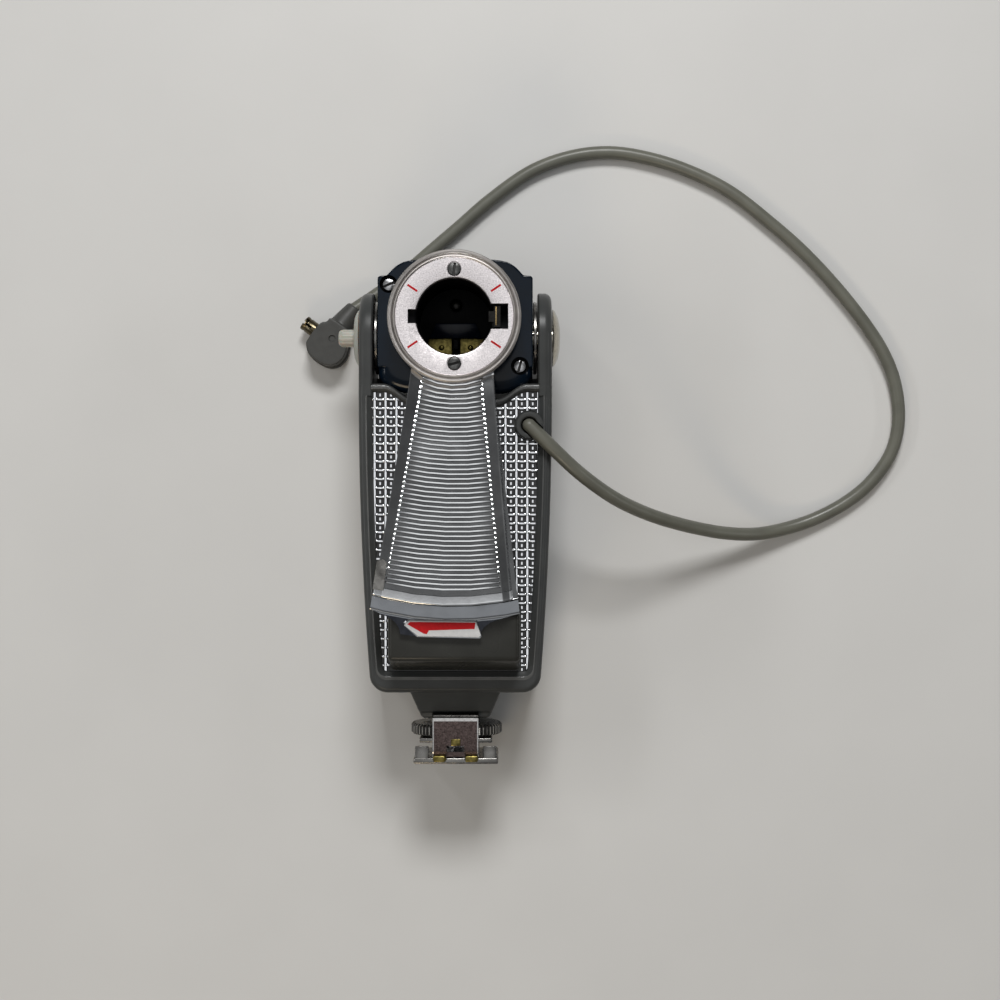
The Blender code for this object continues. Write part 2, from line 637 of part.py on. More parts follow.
def build_fan_rest():
    """Block on the front of the case under the folded fan, with a drafted lower face."""
    top = leaf_level(HUB_Y - REST_HEAD_Y) - REST_CLEARANCE
    foot_y = REST_HEAD_Y - REST_DEPTH_Y
    side = [(REST_HEAD_Y, PLATE_BACK_Z), (REST_HEAD_Y, top), (foot_y, top), (foot_y - REST_DRAFT, PLATE_BACK_Z)]
    block = part("fan_rest", extruded([side], -REST_HALF_WIDTH, REST_HALF_WIDTH, ALONG_X), GREY)
    soften(block, REST_EDGE, 3)


def build_circuit():
    """Battery, its contacts, and the terminal board with what is soldered to it."""
    half = BATTERY_WIDTH / 2
    battery = part("battery", box((-half, BATTERY_FOOT_Y, BATTERY_BACK_Z), (half, BATTERY_TOP_Y, BATTERY_FRONT_Z)), PAPER)
    soften(battery, 0.8 * MM)
    ends = (("contact_plus", BATTERY_TOP_Y + PART_GAP), ("contact_minus", BATTERY_FOOT_Y - PART_GAP - CONTACT_THICK))
    for name, y in ends:
        low = (-4 * MM, y, BATTERY_BACK_Z + 2 * MM)
        part(name, box(low, (4 * MM, y + CONTACT_THICK, BOARD_BACK_Z - PART_GAP)), BRASS)
    edge = half + PART_GAP
    board_foot = BATTERY_FOOT_Y - CONTACT_SPACE + 1.5 * MM
    board_top = BATTERY_TOP_Y + CONTACT_SPACE - 1.5 * MM
    part("terminal_board", box((-edge, board_foot, BOARD_BACK_Z), (edge, board_top, BOARD_FRONT_Z)), BOARD)
    seat = BOARD_FRONT_Z + PART_GAP
    middle = (BATTERY_TOP_Y + BATTERY_FOOT_Y) / 2
    z = seat + CAPACITOR_RADIUS
    ends = (middle - CAPACITOR_LENGTH / 2, middle + CAPACITOR_LENGTH / 2)
    part("capacitor", rod((z, -3 * MM), ALONG_Y, *ends, CAPACITOR_RADIUS), STEEL)
    z = seat + RESISTOR_RADIUS
    ends = (middle - RESISTOR_LENGTH / 2, middle + RESISTOR_LENGTH / 2)
    part("resistor", rod((z, 5 * MM), ALONG_Y, *ends, RESISTOR_RADIUS, 16), PAPER)
    z = seat + WIRE_RADIUS
    bend = z + MM
    exit_x, exit_y = CORD_EXIT
    run = [(5 * MM, middle + RESISTOR_LENGTH / 2 + PART_GAP, z), (6 * MM, middle + 12 * MM, bend),
           (exit_x - 7 * MM, exit_y - 9 * MM, bend), (exit_x - 2 * MM, exit_y - 2 * MM, bend),
           (exit_x, exit_y, bend + MM), (exit_x, exit_y, BODY_FRONT_Z - MM)]
    wire("cord_lead", run, WIRE_RADIUS, RUBBER)


def build_cord():
    """Cord bush on the case's front, the free cord, and the right-angle plug on its end."""
    seat = BODY_FRONT_Z + PART_GAP
    top = seat + CORD_BUSH_HEIGHT
    bush = part("cord_bush", rod(CORD_EXIT, ALONG_Z, seat, top, CORD_BUSH_RADIUS, 32), GREY)
    join(bush, rod(CORD_EXIT, ALONG_Z, seat - CORD_BUSH_DEPTH, seat + MM, CORD_BUSH_SHANK, 32))
    room = CORD_RADIUS + PART_GAP
    cut(bush, rod(CORD_EXIT, ALONG_Z, seat - CORD_BUSH_DEPTH - MM, top + MM, room))
    groove = box((0, -room, seat - MM), (2 * CORD_BUSH_RADIUS, room, top + MM))
    groove.transform(Matrix.Translation((*CORD_EXIT, 0)) @ Matrix.Rotation(CORD_EXIT_TURN, 4, "Z"))
    cut(bush, groove)
    wire("sync_cord", cord_points(), CORD_RADIUS, RUBBER)

    place = Matrix.Translation((*PLUG_CENTRE, 0)) @ Matrix.Rotation(PLUG_TURN, 4, "Z")
    level = PLUG_THICK / 2
    round_centre = (PLUG_ROUND_END + PLUG_HALF_WIDTH, 0)
    outline = arc(round_centre, PLUG_HALF_WIDTH, 90, 270, 14)
    outline += [(PLUG_SQUARE_END, -PLUG_HALF_WIDTH), (PLUG_SQUARE_END, PLUG_HALF_WIDTH)]
    block = extruded([outline], 0, PLUG_THICK)
    block.transform(place)
    plug = soften(part("plug_body", block, GREY), 0.9 * MM)
    tail = rod((0, level), ALONG_X, PLUG_SQUARE_END - MM, PLUG_TAIL_END, PLUG_TAIL_RADIUS, 20, PLUG_TAIL_TIP_RADIUS)
    tail.transform(place)
    join(plug, tail)

    tip = (level, PLUG_TIP_OFFSET)
    start = PLUG_HALF_WIDTH + PART_GAP
    end = start + SLEEVE_LENGTH
    bore = SLEEVE_RADIUS - SLEEVE_WALL
    core = bore - RUN_GAP
    sleeve_mesh = rod(tip, ALONG_Y, start, end, SLEEVE_RADIUS)
    slot = box((PLUG_TIP_OFFSET - 0.3 * MM, end - 2.2 * MM, level),
               (PLUG_TIP_OFFSET + 0.3 * MM, end + MM, level + 3 * MM))
    core_mesh = rod(tip, ALONG_Y, start, end - 0.6 * MM, core, 20)
    bore_mesh = rod(tip, ALONG_Y, start - MM, end + MM, bore)
    pin_bore = rod(tip, ALONG_Y, start - MM, end + MM, PLUG_PIN_RADIUS + RUN_GAP, 16)
    pin_mesh = rod(tip, ALONG_Y, start, end - 0.2 * MM, PLUG_PIN_RADIUS, 12)
    for mesh in (sleeve_mesh, slot, core_mesh, bore_mesh, pin_bore, pin_mesh):
        mesh.transform(place)
    cut(part("plug_sleeve", sleeve_mesh, CHROME), bore_mesh, slot)
    cut(part("plug_insulator", core_mesh, BLACK), pin_bore)
    part("plug_pin", pin_mesh, BRASS)


def build_foot():
    """Bracket, foot plate and the clamp that a knurled wheel drives along its stud."""
    rear = FOOT_AXIS_Z - BRACKET_HALF_GAP
    front = FOOT_AXIS_Z + BRACKET_HALF_GAP
    top = NECK_FOOT_Y + BRACKET_LAP
    side = [
        (top, rear - BRACKET_THICK), (top, rear), (WEB_TOP_Y, rear), (WEB_TOP_Y, front), (top, front),
        (top, front + BRACKET_THICK), (WEB_FOOT_Y, front + BRACKET_THICK), (WEB_FOOT_Y, rear - BRACKET_THICK),
    ]
    strap = extruded([side], -BRACKET_HALF_WIDTH, BRACKET_HALF_WIDTH, ALONG_X)
    bracket = part("foot_bracket", strap, CHROME)
    centre = (0, NECK_FOOT_Y + BRACKET_LAP / 2)
    cut(bracket, rod(centre, ALONG_Z, rear - 2 * BRACKET_THICK, rear + MM, SCREW_SHANK_RADIUS + PART_GAP, 12))
    notch_top = WEB_TOP_Y + 2 * BRACKET_NOTCH
    cut(bracket, box((-BRACKET_NOTCH, WEB_TOP_Y - 2 * BRACKET_THICK, front - MM),
                     (BRACKET_NOTCH, notch_top, front + 2 * BRACKET_THICK)))
    screw("bracket_screw", centre, rear - BRACKET_THICK - PART_GAP, -BRACKET_THICK - 2.5 * MM)

    sole = box((-FOOT_HALF_WIDTH, FOOT_SOLE_Y, FOOT_AXIS_Z - FOOT_HALF_DEPTH),
               (FOOT_HALF_WIDTH, FOOT_TOP_Y, FOOT_AXIS_Z + FOOT_HALF_DEPTH))
    foot = soften(part("foot_plate", sole, CHROME), FOOT_EDGE)
    tab_front = FOOT_AXIS_Z + FOOT_HALF_DEPTH - PART_GAP / 2
    for side in (-1, 1):
        ends = sorted((side * (BRACKET_HALF_WIDTH + FOOT_TAB_SPACE), side * (FOOT_HALF_WIDTH - FOOT_EDGE)))
        join(foot, box((ends[0], FOOT_TOP_Y - FOOT_THICK / 2, tab_front - FOOT_TAB_THICK),
                       (ends[1], FOOT_TOP_Y + FOOT_TAB_RISE, tab_front)))
    hole = rod((FOOT_AXIS_Z, 0), ALONG_Y, FOOT_SOLE_Y - MM, WEB_TOP_Y + MM, STUD_TAIL_RADIUS + PART_GAP)
    cut(foot, hole)
    cut(bracket, hole.copy())
    ends = (WEB_TOP_Y + PART_GAP, NECK_FOOT_Y - PART_GAP)
    stud = part("clamp_stud", rod((FOOT_AXIS_Z, 0), ALONG_Y, *ends, STUD_RADIUS), STEEL)
    join(stud, rod((FOOT_AXIS_Z, 0), ALONG_Y, FOOT_SOLE_Y + PART_GAP, WEB_TOP_Y + MM, STUD_TAIL_RADIUS))
    bore = arc((FOOT_AXIS_Z, 0), STUD_RADIUS + PART_GAP, 0, 345, 23)
    plate = [(FOOT_AXIS_Z - CLAMP_HALF, -CLAMP_HALF), (FOOT_AXIS_Z + CLAMP_HALF, -CLAMP_HALF),
             (FOOT_AXIS_Z + CLAMP_HALF, CLAMP_HALF), (FOOT_AXIS_Z - CLAMP_HALF, CLAMP_HALF)]
    part("clamp_plate", extruded([plate, bore], CLAMP_TOP_Y - CLAMP_THICK, CLAMP_TOP_Y, ALONG_Y), CHROME, CLAMP_AXIS)
    knurl = []
    for i in range(2 * WHEEL_TEETH):
        reach = WHEEL_RADIUS - KNURL_DEPTH * (i % 2)
        turn = math.pi * i / WHEEL_TEETH
        knurl.append((FOOT_AXIS_Z + reach * math.cos(turn), reach * math.sin(turn)))
    part("clamp_wheel", extruded([knurl, bore], WHEEL_TOP_Y - WHEEL_THICK, WHEEL_TOP_Y, ALONG_Y), CHROME, CLAMP_AXIS)


def head_outline():
    """The head seen from the front: domed top, square ears, and two lobes below."""
    foot = HUB_Y - HEAD_FOOT
    top = HUB_Y + HEAD_TOP
    lobe = foot - HEAD_STEP
    half = [(LOBE_X + (EAR_X - LOBE_X) * math.sin(a), lobe - (LOBE_DROP - HEAD_STEP) * math.cos(a))
            for a in (math.pi / 2 * i / 8 for i in range(9))]
    side_x = HEAD_HALF_WIDTH - EAR_ROUND
    half += arc((side_x, foot + EAR_ROUND), EAR_ROUND, -90, 0, 3)
    half += arc((side_x, top - EAR_DROP - HEAD_STEP - EAR_ROUND), EAR_ROUND, 0, 90, 3)
    for i in range(8):
        x = EAR_X * math.cos(math.pi / 2 * i / 8)
        half.append((x, top - EAR_DROP + EAR_DROP * math.sqrt(1 - (x / EAR_X) ** 4)))
    return mirrored(half)


def head_profile():
    """The head seen from the side: flat front and back, and a drum about the pivot below."""
    low = HUB_Y - HEAD_FOOT - LOBE_DROP - MM
    high = HUB_Y + HEAD_TOP + MM
    tangent = math.degrees(math.asin(HEAD_BACK / DRUM_RADIUS))
    front = HEAD_FRONT_Z + MM
    outline = [(low, front), (low, HEAD_FRONT_Z - LOBE_THICK)]
    outline += [(PIVOT_Y - DRUM_RADIUS, PIVOT_Z + HEAD_FRONT / 3)]
    outline += arc((PIVOT_Y, PIVOT_Z), DRUM_RADIUS, 180, 180 + tangent, 8)
    outline += [(high - 5 * MM, HEAD_BACK_Z), (high, HEAD_BACK_Z + 4 * MM), (high, front)]
    return [outline]


def head_block(name, low, high):
    """One slice of the head between two levels."""
    block = part(name, extruded([head_outline()], low, high), NAVY, HEAD_AXIS)
    room = 2 * HEAD_HALF_WIDTH
    return combine(block, "INTERSECT", extruded(head_profile(), -room, room, ALONG_X))


def build_head():
    """Two-piece head on its pivots, with the pocket for the socket and the ejector."""
    shell = head_block("head_shell", HEAD_SPLIT_Z + PART_GAP, HEAD_FRONT_Z)
    back = head_block("head_back", HEAD_BACK_Z - MM, HEAD_SPLIT_Z)
    inner_x = HEAD_HALF_WIDTH - HEAD_WALL
    ear_y = SOCKET_EAR_HALF_Y + PART_GAP
    pocket_foot = PIVOT_Y - SLIDE_HALF_Y - SPRING_DROP_Y - PART_GAP
    low = HEAD_SPLIT_Z - MM
    cut(shell, box((-inner_x, pocket_foot, low), (inner_x, HUB_Y + ear_y, HEAD_INSIDE_Z)))
    room = TUBE_RADIUS + PART_GAP
    cut(shell, rod((0, HUB_Y), ALONG_Z, TUBE_BACK_Z - PART_GAP, HEAD_FRONT_Z + MM, room, 48))
    for side, radius in ((-1, BUSH_SHANK_RADIUS), (1, CAP_SHANK_RADIUS)):
        ends = sorted((side * (inner_x - MM), side * (HEAD_HALF_WIDTH + MM)))
        cut(shell, rod((PIVOT_Y, PIVOT_Z), ALONG_X, *ends, radius + PART_GAP))
    places = [(HEAD_SCREW_LEFT_INSET - HEAD_HALF_WIDTH, PIVOT_Y + HEAD_SCREW_LEFT_RISE),
              (HEAD_HALF_WIDTH - HEAD_SCREW_RIGHT_INSET, PIVOT_Y - HEAD_SCREW_RIGHT_DROP)]
    seat = HEAD_FRONT_Z - 2 * SCREW_HEAD - PART_GAP
    for centre in places:
        cut(shell, rod(centre, ALONG_Z, seat, HEAD_FRONT_Z + MM, SCREW_HEAD_RADIUS + PART_GAP))
        for block in (shell, back):
            cut(block, rod(centre, ALONG_Z, HEAD_BACK_Z - 2 * MM, HEAD_FRONT_Z + MM,
                           SCREW_SHANK_RADIUS + PART_GAP, 12))
    reach = seat + PART_GAP - HEAD_SPLIT_Z + HEAD_BACK_THICK / 3
    for name, centre in zip(("head_screw_left", "head_screw_right"), places):
        screw(name, centre, seat + PART_GAP, reach, HEAD_AXIS)

    washer_x = HEAD_HALF_WIDTH + RUN_GAP
    for name, side, shank in (("friction_washer_left", -1, BUSH_SHANK_RADIUS),
                              ("friction_washer_right", 1, CAP_SHANK_RADIUS)):
        ends = sorted((side * washer_x, side * (washer_x + WASHER_THICK)))
        washer = part(name, rod((PIVOT_Y, PIVOT_Z), ALONG_X, *ends, WASHER_RADIUS, 32), CHROME, HEAD_AXIS)
        cut(washer, rod((PIVOT_Y, PIVOT_Z), ALONG_X, ends[0] - MM, ends[1] + MM, shank + PART_GAP))

    seat = BODY_HALF_WIDTH + PART_GAP
    left = Matrix.Translation((0, PIVOT_Y, PIVOT_Z)) @ Matrix.Rotation(-math.pi / 2, 4, "Y")
    right = Matrix.Translation((0, PIVOT_Y, PIVOT_Z)) @ Matrix.Rotation(math.pi / 2, 4, "Y")
    bore = BUTTON_RADIUS + RUN_GAP
    face = seat + BUSH_FLANGE_THICK
    profile = [(bore, face), (0.55 * BUSH_FLANGE_RADIUS, face), (0.9 * BUSH_FLANGE_RADIUS, face - 0.7 * MM),
               (BUSH_FLANGE_RADIUS, seat), (BUSH_SHANK_RADIUS, seat), (BUSH_SHANK_RADIUS, inner_x), (bore, inner_x)]
    turned("pivot_bush", profile, PALE, left, closed=True, parent=HEAD_AXIS)
    face = seat + CAP_THICK
    profile = [(0, face), (0.5 * CAP_RADIUS, face - 0.2 * MM), (0.85 * CAP_RADIUS, face - 0.8 * MM),
               (CAP_RADIUS, seat), (CAP_SHANK_RADIUS, seat), (CAP_SHANK_RADIUS, inner_x), (0, inner_x)]
    turned("pivot_cap", profile, CHROME, right, parent=HEAD_AXIS)


def build_socket():
    """Socket tube with side ears, its contacts, and the bezel that closes the fan."""
    hub = (0, HUB_Y)
    tube = part("socket_tube", rod(hub, ALONG_Z, TUBE_BACK_Z, TUBE_FRONT_Z, TUBE_RADIUS, 48), BLACK, HEAD_AXIS)
    ear_top = HEAD_INSIDE_Z - PART_GAP
    join(tube, box((-SOCKET_EAR_X, HUB_Y - SOCKET_EAR_HALF_Y, ear_top - SOCKET_EAR_THICK),
                   (SOCKET_EAR_X, HUB_Y + SOCKET_EAR_HALF_Y, ear_top)))
    cut(tube, rod(hub, ALONG_Z, TUBE_BACK_Z - MM, TUBE_FRONT_Z + MM, SOCKET_RADIUS, 48))
    slot = LATCH_HALF_WIDTH + RUN_GAP
    slot_end = LATCH_X + LATCH_THICK + EJECT_TRAVEL + RUN_GAP
    cut(tube, box((0, HUB_Y - slot, TUBE_BACK_Z - MM), (slot_end, HUB_Y + slot, TUBE_FRONT_Z + MM)))
    places = [(0, HUB_Y - BEZEL_SCREW_R), (0, HUB_Y + BEZEL_SCREW_R)]
    reach = BEZEL_THICK + 5 * MM
    for centre in places:
        cut(tube, rod(centre, ALONG_Z, BEZEL_BACK_Z - reach, TUBE_FRONT_Z + MM, SCREW_SHANK_RADIUS + PART_GAP, 12))

    inside = SOCKET_RADIUS - RUN_GAP
    part("contact_block", rod(hub, ALONG_Z, TUBE_BACK_Z, BLOCK_FRONT_Z, inside, 32), BLACK, HEAD_AXIS)
    pin = (0, HUB_Y + GROUND_PIN_Y)
    part("ground_pin", rod(pin, ALONG_Z, SEAT_Z, SEAT_Z + GROUND_PIN_HEIGHT, GROUND_PIN_RADIUS, 20), BRASS, HEAD_AXIS)
    half = math.sqrt(inside ** 2 - LEDGE_DEPTH_Y ** 2) - PART_GAP
    ledge_foot = HUB_Y - LEDGE_DEPTH_Y
    ledge = box((-half, ledge_foot, SEAT_Z), (half, HUB_Y, SEAT_Z + LEDGE_THICK))
    soften(part("adapter_ledge", ledge, NAVY, HEAD_AXIS), 0.3 * MM)
    contact_top = ledge_foot - PART_GAP
    post = box((-POST_HALF_WIDTH, contact_top - SIDE_CONTACT_DEPTH, SEAT_Z),
               (POST_HALF_WIDTH, contact_top, SEAT_Z + POST_HEIGHT))
    part("contact_post", post, BLACK, HEAD_AXIS)
    low = POST_HALF_WIDTH + PART_GAP
    for name, side in (("side_contact_left", -1), ("side_contact_right", 1)):
        near, far = sorted((side * low, side * (low + SIDE_CONTACT_WIDTH)))
        part(name, box((near, contact_top - SIDE_CONTACT_DEPTH, SEAT_Z),
                       (far, contact_top, SEAT_Z + SIDE_CONTACT_HEIGHT)), BRASS, HEAD_AXIS)

    place = Matrix.Translation((0, HUB_Y, 0))
    rim_z = BEZEL_FACE_Z + RIM_HEIGHT
    groove_r = EYE_OUTER - RIM_WIDTH
    ring = [(EYE_OUTER - 0.5 * MM, rim_z), (EYE_OUTER, rim_z - 0.5 * MM), (EYE_OUTER, BEZEL_BACK_Z),
            (SOCKET_RADIUS, BEZEL_BACK_Z), (SOCKET_RADIUS, BEZEL_FACE_Z), (groove_r, BEZEL_FACE_Z),
            (groove_r + 0.3 * MM, rim_z)]
    bezel = turned("bezel_ring", ring, SATIN, place, closed=True, steps=48, parent=HEAD_AXIS)
    low = BEZEL_BACK_Z - MM
    high = rim_z + MM
    pin_end = -(SOCKET_RADIUS + PIN_NOTCH_DEPTH)
    cut(bezel, box((pin_end, HUB_Y - PIN_NOTCH_WIDTH / 2, low), (0, HUB_Y + PIN_NOTCH_WIDTH / 2, high)))
    latch_end = SOCKET_RADIUS + LATCH_NOTCH_DEPTH
    cut(bezel, box((0, HUB_Y - LATCH_NOTCH_WIDTH / 2, low), (latch_end, HUB_Y + LATCH_NOTCH_WIDTH / 2, high)))
    for centre in places:
        cut(bezel, rod(centre, ALONG_Z, low, high, SCREW_SHANK_RADIUS + PART_GAP, 12))
        cut(bezel, rod(centre, ALONG_Z, BEZEL_FACE_Z - SCREW_HEAD, high, SCREW_HEAD_RADIUS + 0.6 * PART_GAP))
    for name, centre in zip(("bezel_screw_low", "bezel_screw_high"), places):
        screw(name, centre, BEZEL_FACE_Z - SCREW_HEAD + PART_GAP, reach, HEAD_AXIS)


def build_ejector():
    """Button in the left pivot, the slide behind the socket with the bulb latch, and its spring."""
    outer_x = -(BODY_HALF_WIDTH + PART_GAP + BUSH_FLANGE_THICK + BUTTON_PROUD)
    ends = (outer_x, SLIDE_WALL_X - PART_GAP)
    part("eject_button", rod((PIVOT_Y, PIVOT_Z), ALONG_X, *ends, BUTTON_RADIUS, 10), PALE, EJECT_AXIS)
    foot = PIVOT_Y - SLIDE_HALF_Y - SPRING_DROP_Y
    top = HUB_Y + LATCH_HALF_WIDTH
    wall_end = SLIDE_WALL_X + SLIDE_THICK
    latch_end = LATCH_X + LATCH_THICK
    floor_top = SLIDE_BACK_Z + SLIDE_THICK
    latch_top = BEZEL_FACE_Z - BEZEL_THICK / 2
    floor = box((SLIDE_WALL_X, foot, SLIDE_BACK_Z), (latch_end, top, floor_top))
    wall = box((SLIDE_WALL_X, foot, SLIDE_BACK_Z), (wall_end, PIVOT_Y + SLIDE_HALF_Y, PIVOT_Z + BUTTON_RADIUS))
    arm = box((LATCH_X, HUB_Y - LATCH_HALF_WIDTH, SLIDE_BACK_Z), (latch_end, top, latch_top))
    nose = box((LATCH_X - LATCH_NOSE, HUB_Y - LATCH_HALF_WIDTH / 2, latch_top - LATCH_NOSE_HEIGHT),
               (latch_end, HUB_Y + LATCH_HALF_WIDTH / 2, latch_top))
    join(part("eject_slide", floor, STEEL, EJECT_AXIS), wall, arm, nose)

    spring_y = foot + SPRING_RADIUS + PART_GAP
    start = wall_end + PART_GAP + SPRING_WIRE
    reach = HUB_Y - spring_y - SPRING_RADIUS - SPRING_WIRE
    end = -math.sqrt(TUBE_RADIUS ** 2 - reach ** 2) - PART_GAP - SPRING_WIRE
    steps = 10 * SPRING_TURNS
    coil = []
    for i in range(steps + 1):
        turn = 2 * math.pi * i / 10
        coil.append((start + (end - start) * i / steps, spring_y + SPRING_RADIUS * math.cos(turn),
                     PIVOT_Z + SPRING_RADIUS * math.sin(turn)))
    wire("eject_spring", coil, SPRING_WIRE, STEEL, EJECT_AXIS, resolution=1)


def leaf_mesh(radius, half_angle, rows, ribbed=False, tab=False):
    """One fan leaf as a sheet: a flat eye round the hub and a conical petal toward -Y."""
    base_half = PETAL_EDGES * math.pi / EYE_SEGMENTS
    base_width = EYE_OUTER * math.sin(base_half)
    rim_width = radius * math.sin(half_angle)

    def widest(r):
        share = (r - EYE_OUTER) / (radius - EYE_OUTER)
        return base_width + (rim_width - base_width) * share

    def spot(r, share, lift=0.0):
        turn = math.asin(widest(r) * share / r)
        return Vector((r * math.sin(turn), -r * math.cos(turn), (r - EYE_OUTER) * CONE_SLOPE + lift))

    def fill(shape):
        half_step = Matrix.Rotation(math.pi / EYE_SEGMENTS, 4, "Z")
        for reach in (EYE_INNER, EYE_OUTER):
            bmesh.ops.create_circle(shape, segments=EYE_SEGMENTS, radius=reach, matrix=half_step)
        bmesh.ops.bridge_loops(shape, edges=shape.edges)
        front = []
        for edge in shape.edges:
            middle = (edge.verts[0].co + edge.verts[1].co) / 2
            if edge.is_boundary and middle.length > (EYE_INNER + EYE_OUTER) / 2:
                if abs(math.atan2(middle.x, -middle.y)) < base_half:
                    front.append(edge)
        shares = {}
        for edge in front:
            for vert in edge.verts:
                shares[vert] = math.atan2(vert.co.x, -vert.co.y) / base_half
        for index, r in enumerate(rows):
            new = bmesh.ops.extrude_edge_only(shape, edges=front)["geom"]
            front = [e for e in new if isinstance(e, bmesh.types.BMEdge)]
            fresh = {}
            for vert in (v for v in new if isinstance(v, bmesh.types.BMVert)):
                old = min(shares, key=lambda v: (v.co - vert.co).length)
                fresh[vert] = shares[old]
            for vert, share in fresh.items():
                inner = abs(share) < 0.5
                if tab and inner:
                    blend = (r - EYE_OUTER) / (radius - EYE_OUTER)
                    goal = math.copysign(TAB_HALF_WIDTH / rim_width, share)
                    vert.co = spot(r, share + (goal - share) * blend)
                else:
                    ridge = ribbed and abs(share) < 0.9 and index % 2 and index < len(rows) - 2
                    vert.co = spot(r, share, RIB_HEIGHT if ridge else 0.0)
            shares = fresh
        if tab:
            edge = [e for e in front if all(abs(shares[v]) < 0.5 for v in e.verts)]
            new = bmesh.ops.extrude_edge_only(shape, edges=edge)["geom"]
            for vert in (v for v in new if isinstance(v, bmesh.types.BMVert)):
                vert.co += Vector((0, -TAB_LENGTH, TAB_LENGTH * CONE_SLOPE))
        bmesh.ops.recalc_face_normals(shape, faces=shape.faces)
        if sum(face.normal.z for face in shape.faces) < 0:
            bmesh.ops.reverse_faces(shape, faces=shape.faces)

    return mesh_from(fill)


def build_fan():
    """Thirteen nested leaves: the front one is fixed, and the rear one carries the pull tab."""
    even = [EYE_OUTER + (LEAF_RADIUS - EYE_OUTER) * (i + 1) / PETAL_ROWS for i in range(PETAL_ROWS)]
    rib_count = round((LEAF_RADIUS - RIB_MARGIN - EYE_OUTER - RIB_START) / RIB_PITCH)
    ribs = [EYE_OUTER + RIB_START + RIB_PITCH / 2 * i for i in range(2 * rib_count + 1)]
    front = leaf_mesh(LEAF_RADIUS, LEAF_HALF_ANGLE, ribs + [LEAF_RADIUS], ribbed=True)
    middle = leaf_mesh(LEAF_RADIUS, LEAF_HALF_ANGLE, even)
    even = [EYE_OUTER + (PULL_RADIUS - EYE_OUTER) * (i + 1) / PETAL_ROWS for i in range(PETAL_ROWS)]
    rear = leaf_mesh(PULL_RADIUS, PULL_HALF_ANGLE, even, tab=True)
    for index in range(LEAF_COUNT):
        mesh = front if index == 0 else rear if index == LEAF_COUNT - 1 else middle
        name = "fan_leaf_%02d" % (index + 1)
        z = FAN_BACK_Z + (LEAF_COUNT - 1 - index) * LEAF_PITCH
        parent = HEAD_AXIS if index == 0 else FAN_AXIS
        leaf = part(name, mesh, CHROME, parent, (0, HUB_Y, z), FAN_REST_TURN)
        thick = leaf.modifiers.new("sheet", "SOLIDIFY")
        thick.thickness = LEAF_THICK
        thick.offset = 1
        thick.use_even_offset = True

    reach = PULL_RADIUS + TAB_LENGTH - TAB_PLATE_LENGTH
    half = TAB_PLATE_HALF_WIDTH
    plate = extruded([[(-half, -TAB_PLATE_LENGTH), (half, -TAB_PLATE_LENGTH), (half, 0), (-half, 0)]], 0, TAB_PLATE_THICK)
    lift = (reach - EYE_OUTER) * CONE_SLOPE + LEAF_THICK / math.cos(math.atan(CONE_SLOPE)) + PART_GAP
    plate.transform(Matrix.Translation((0, -reach, lift)) @ Matrix.Rotation(-math.atan(CONE_SLOPE), 4, "X"))
    part("tab_plate", plate, WHITE, FAN_AXIS, (0, HUB_Y, FAN_BACK_Z), FAN_REST_TURN)


build_front_housing()
build_rear_cover()
build_face_plate()
build_fan_rest()
build_circuit()
build_cord()
build_foot()
build_head()
build_socket()
build_ejector()
build_fan()
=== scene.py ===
"""Folding-fan flash bulb gun on a pale table, seen from straight above.

Shapes are drawn in millimetres, and come to metres when a piece is mounted. The gun lies on its
rear cover, with its foot toward -Y and the front of its head toward +Z.
"""

import math

import bmesh
import bpy
from mathutils import Matrix
from mathutils import Vector


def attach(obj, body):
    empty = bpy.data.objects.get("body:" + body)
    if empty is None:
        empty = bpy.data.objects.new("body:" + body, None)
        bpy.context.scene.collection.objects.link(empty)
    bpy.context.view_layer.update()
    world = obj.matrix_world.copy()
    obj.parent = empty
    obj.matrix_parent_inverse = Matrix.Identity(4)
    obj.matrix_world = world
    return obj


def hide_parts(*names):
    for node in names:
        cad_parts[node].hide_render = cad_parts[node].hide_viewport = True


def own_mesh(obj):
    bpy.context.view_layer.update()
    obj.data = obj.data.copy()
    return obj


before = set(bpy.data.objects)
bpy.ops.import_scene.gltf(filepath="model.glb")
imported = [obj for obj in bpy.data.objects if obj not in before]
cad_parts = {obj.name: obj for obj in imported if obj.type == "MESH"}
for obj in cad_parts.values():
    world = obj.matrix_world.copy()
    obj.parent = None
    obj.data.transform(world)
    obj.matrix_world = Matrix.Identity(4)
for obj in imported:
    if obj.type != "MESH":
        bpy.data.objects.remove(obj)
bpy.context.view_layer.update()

# Camera
# It looks straight down from about arm's length. Its lens and height give the shoe plate its real
# width in the picture, and the gun stands a little left of the middle.
MM = 0.001
SCENE = bpy.context.scene
CAMERA_HEIGHT = 440 * MM
CAMERA_X = 9.7 * MM
CAMERA_LENS = 68.4
SENSOR_WIDTH = 36
NEAREST = 10 * MM

SCENE.view_settings.view_transform = "Standard"
camera = bpy.data.objects.new("camera", bpy.data.cameras.new("camera"))
SCENE.collection.objects.link(camera)
camera.location = (CAMERA_X, 0, CAMERA_HEIGHT)
camera.data.lens = CAMERA_LENS
camera.data.sensor_width = SENSOR_WIDTH
camera.data.clip_start = NEAREST
SCENE.camera = camera

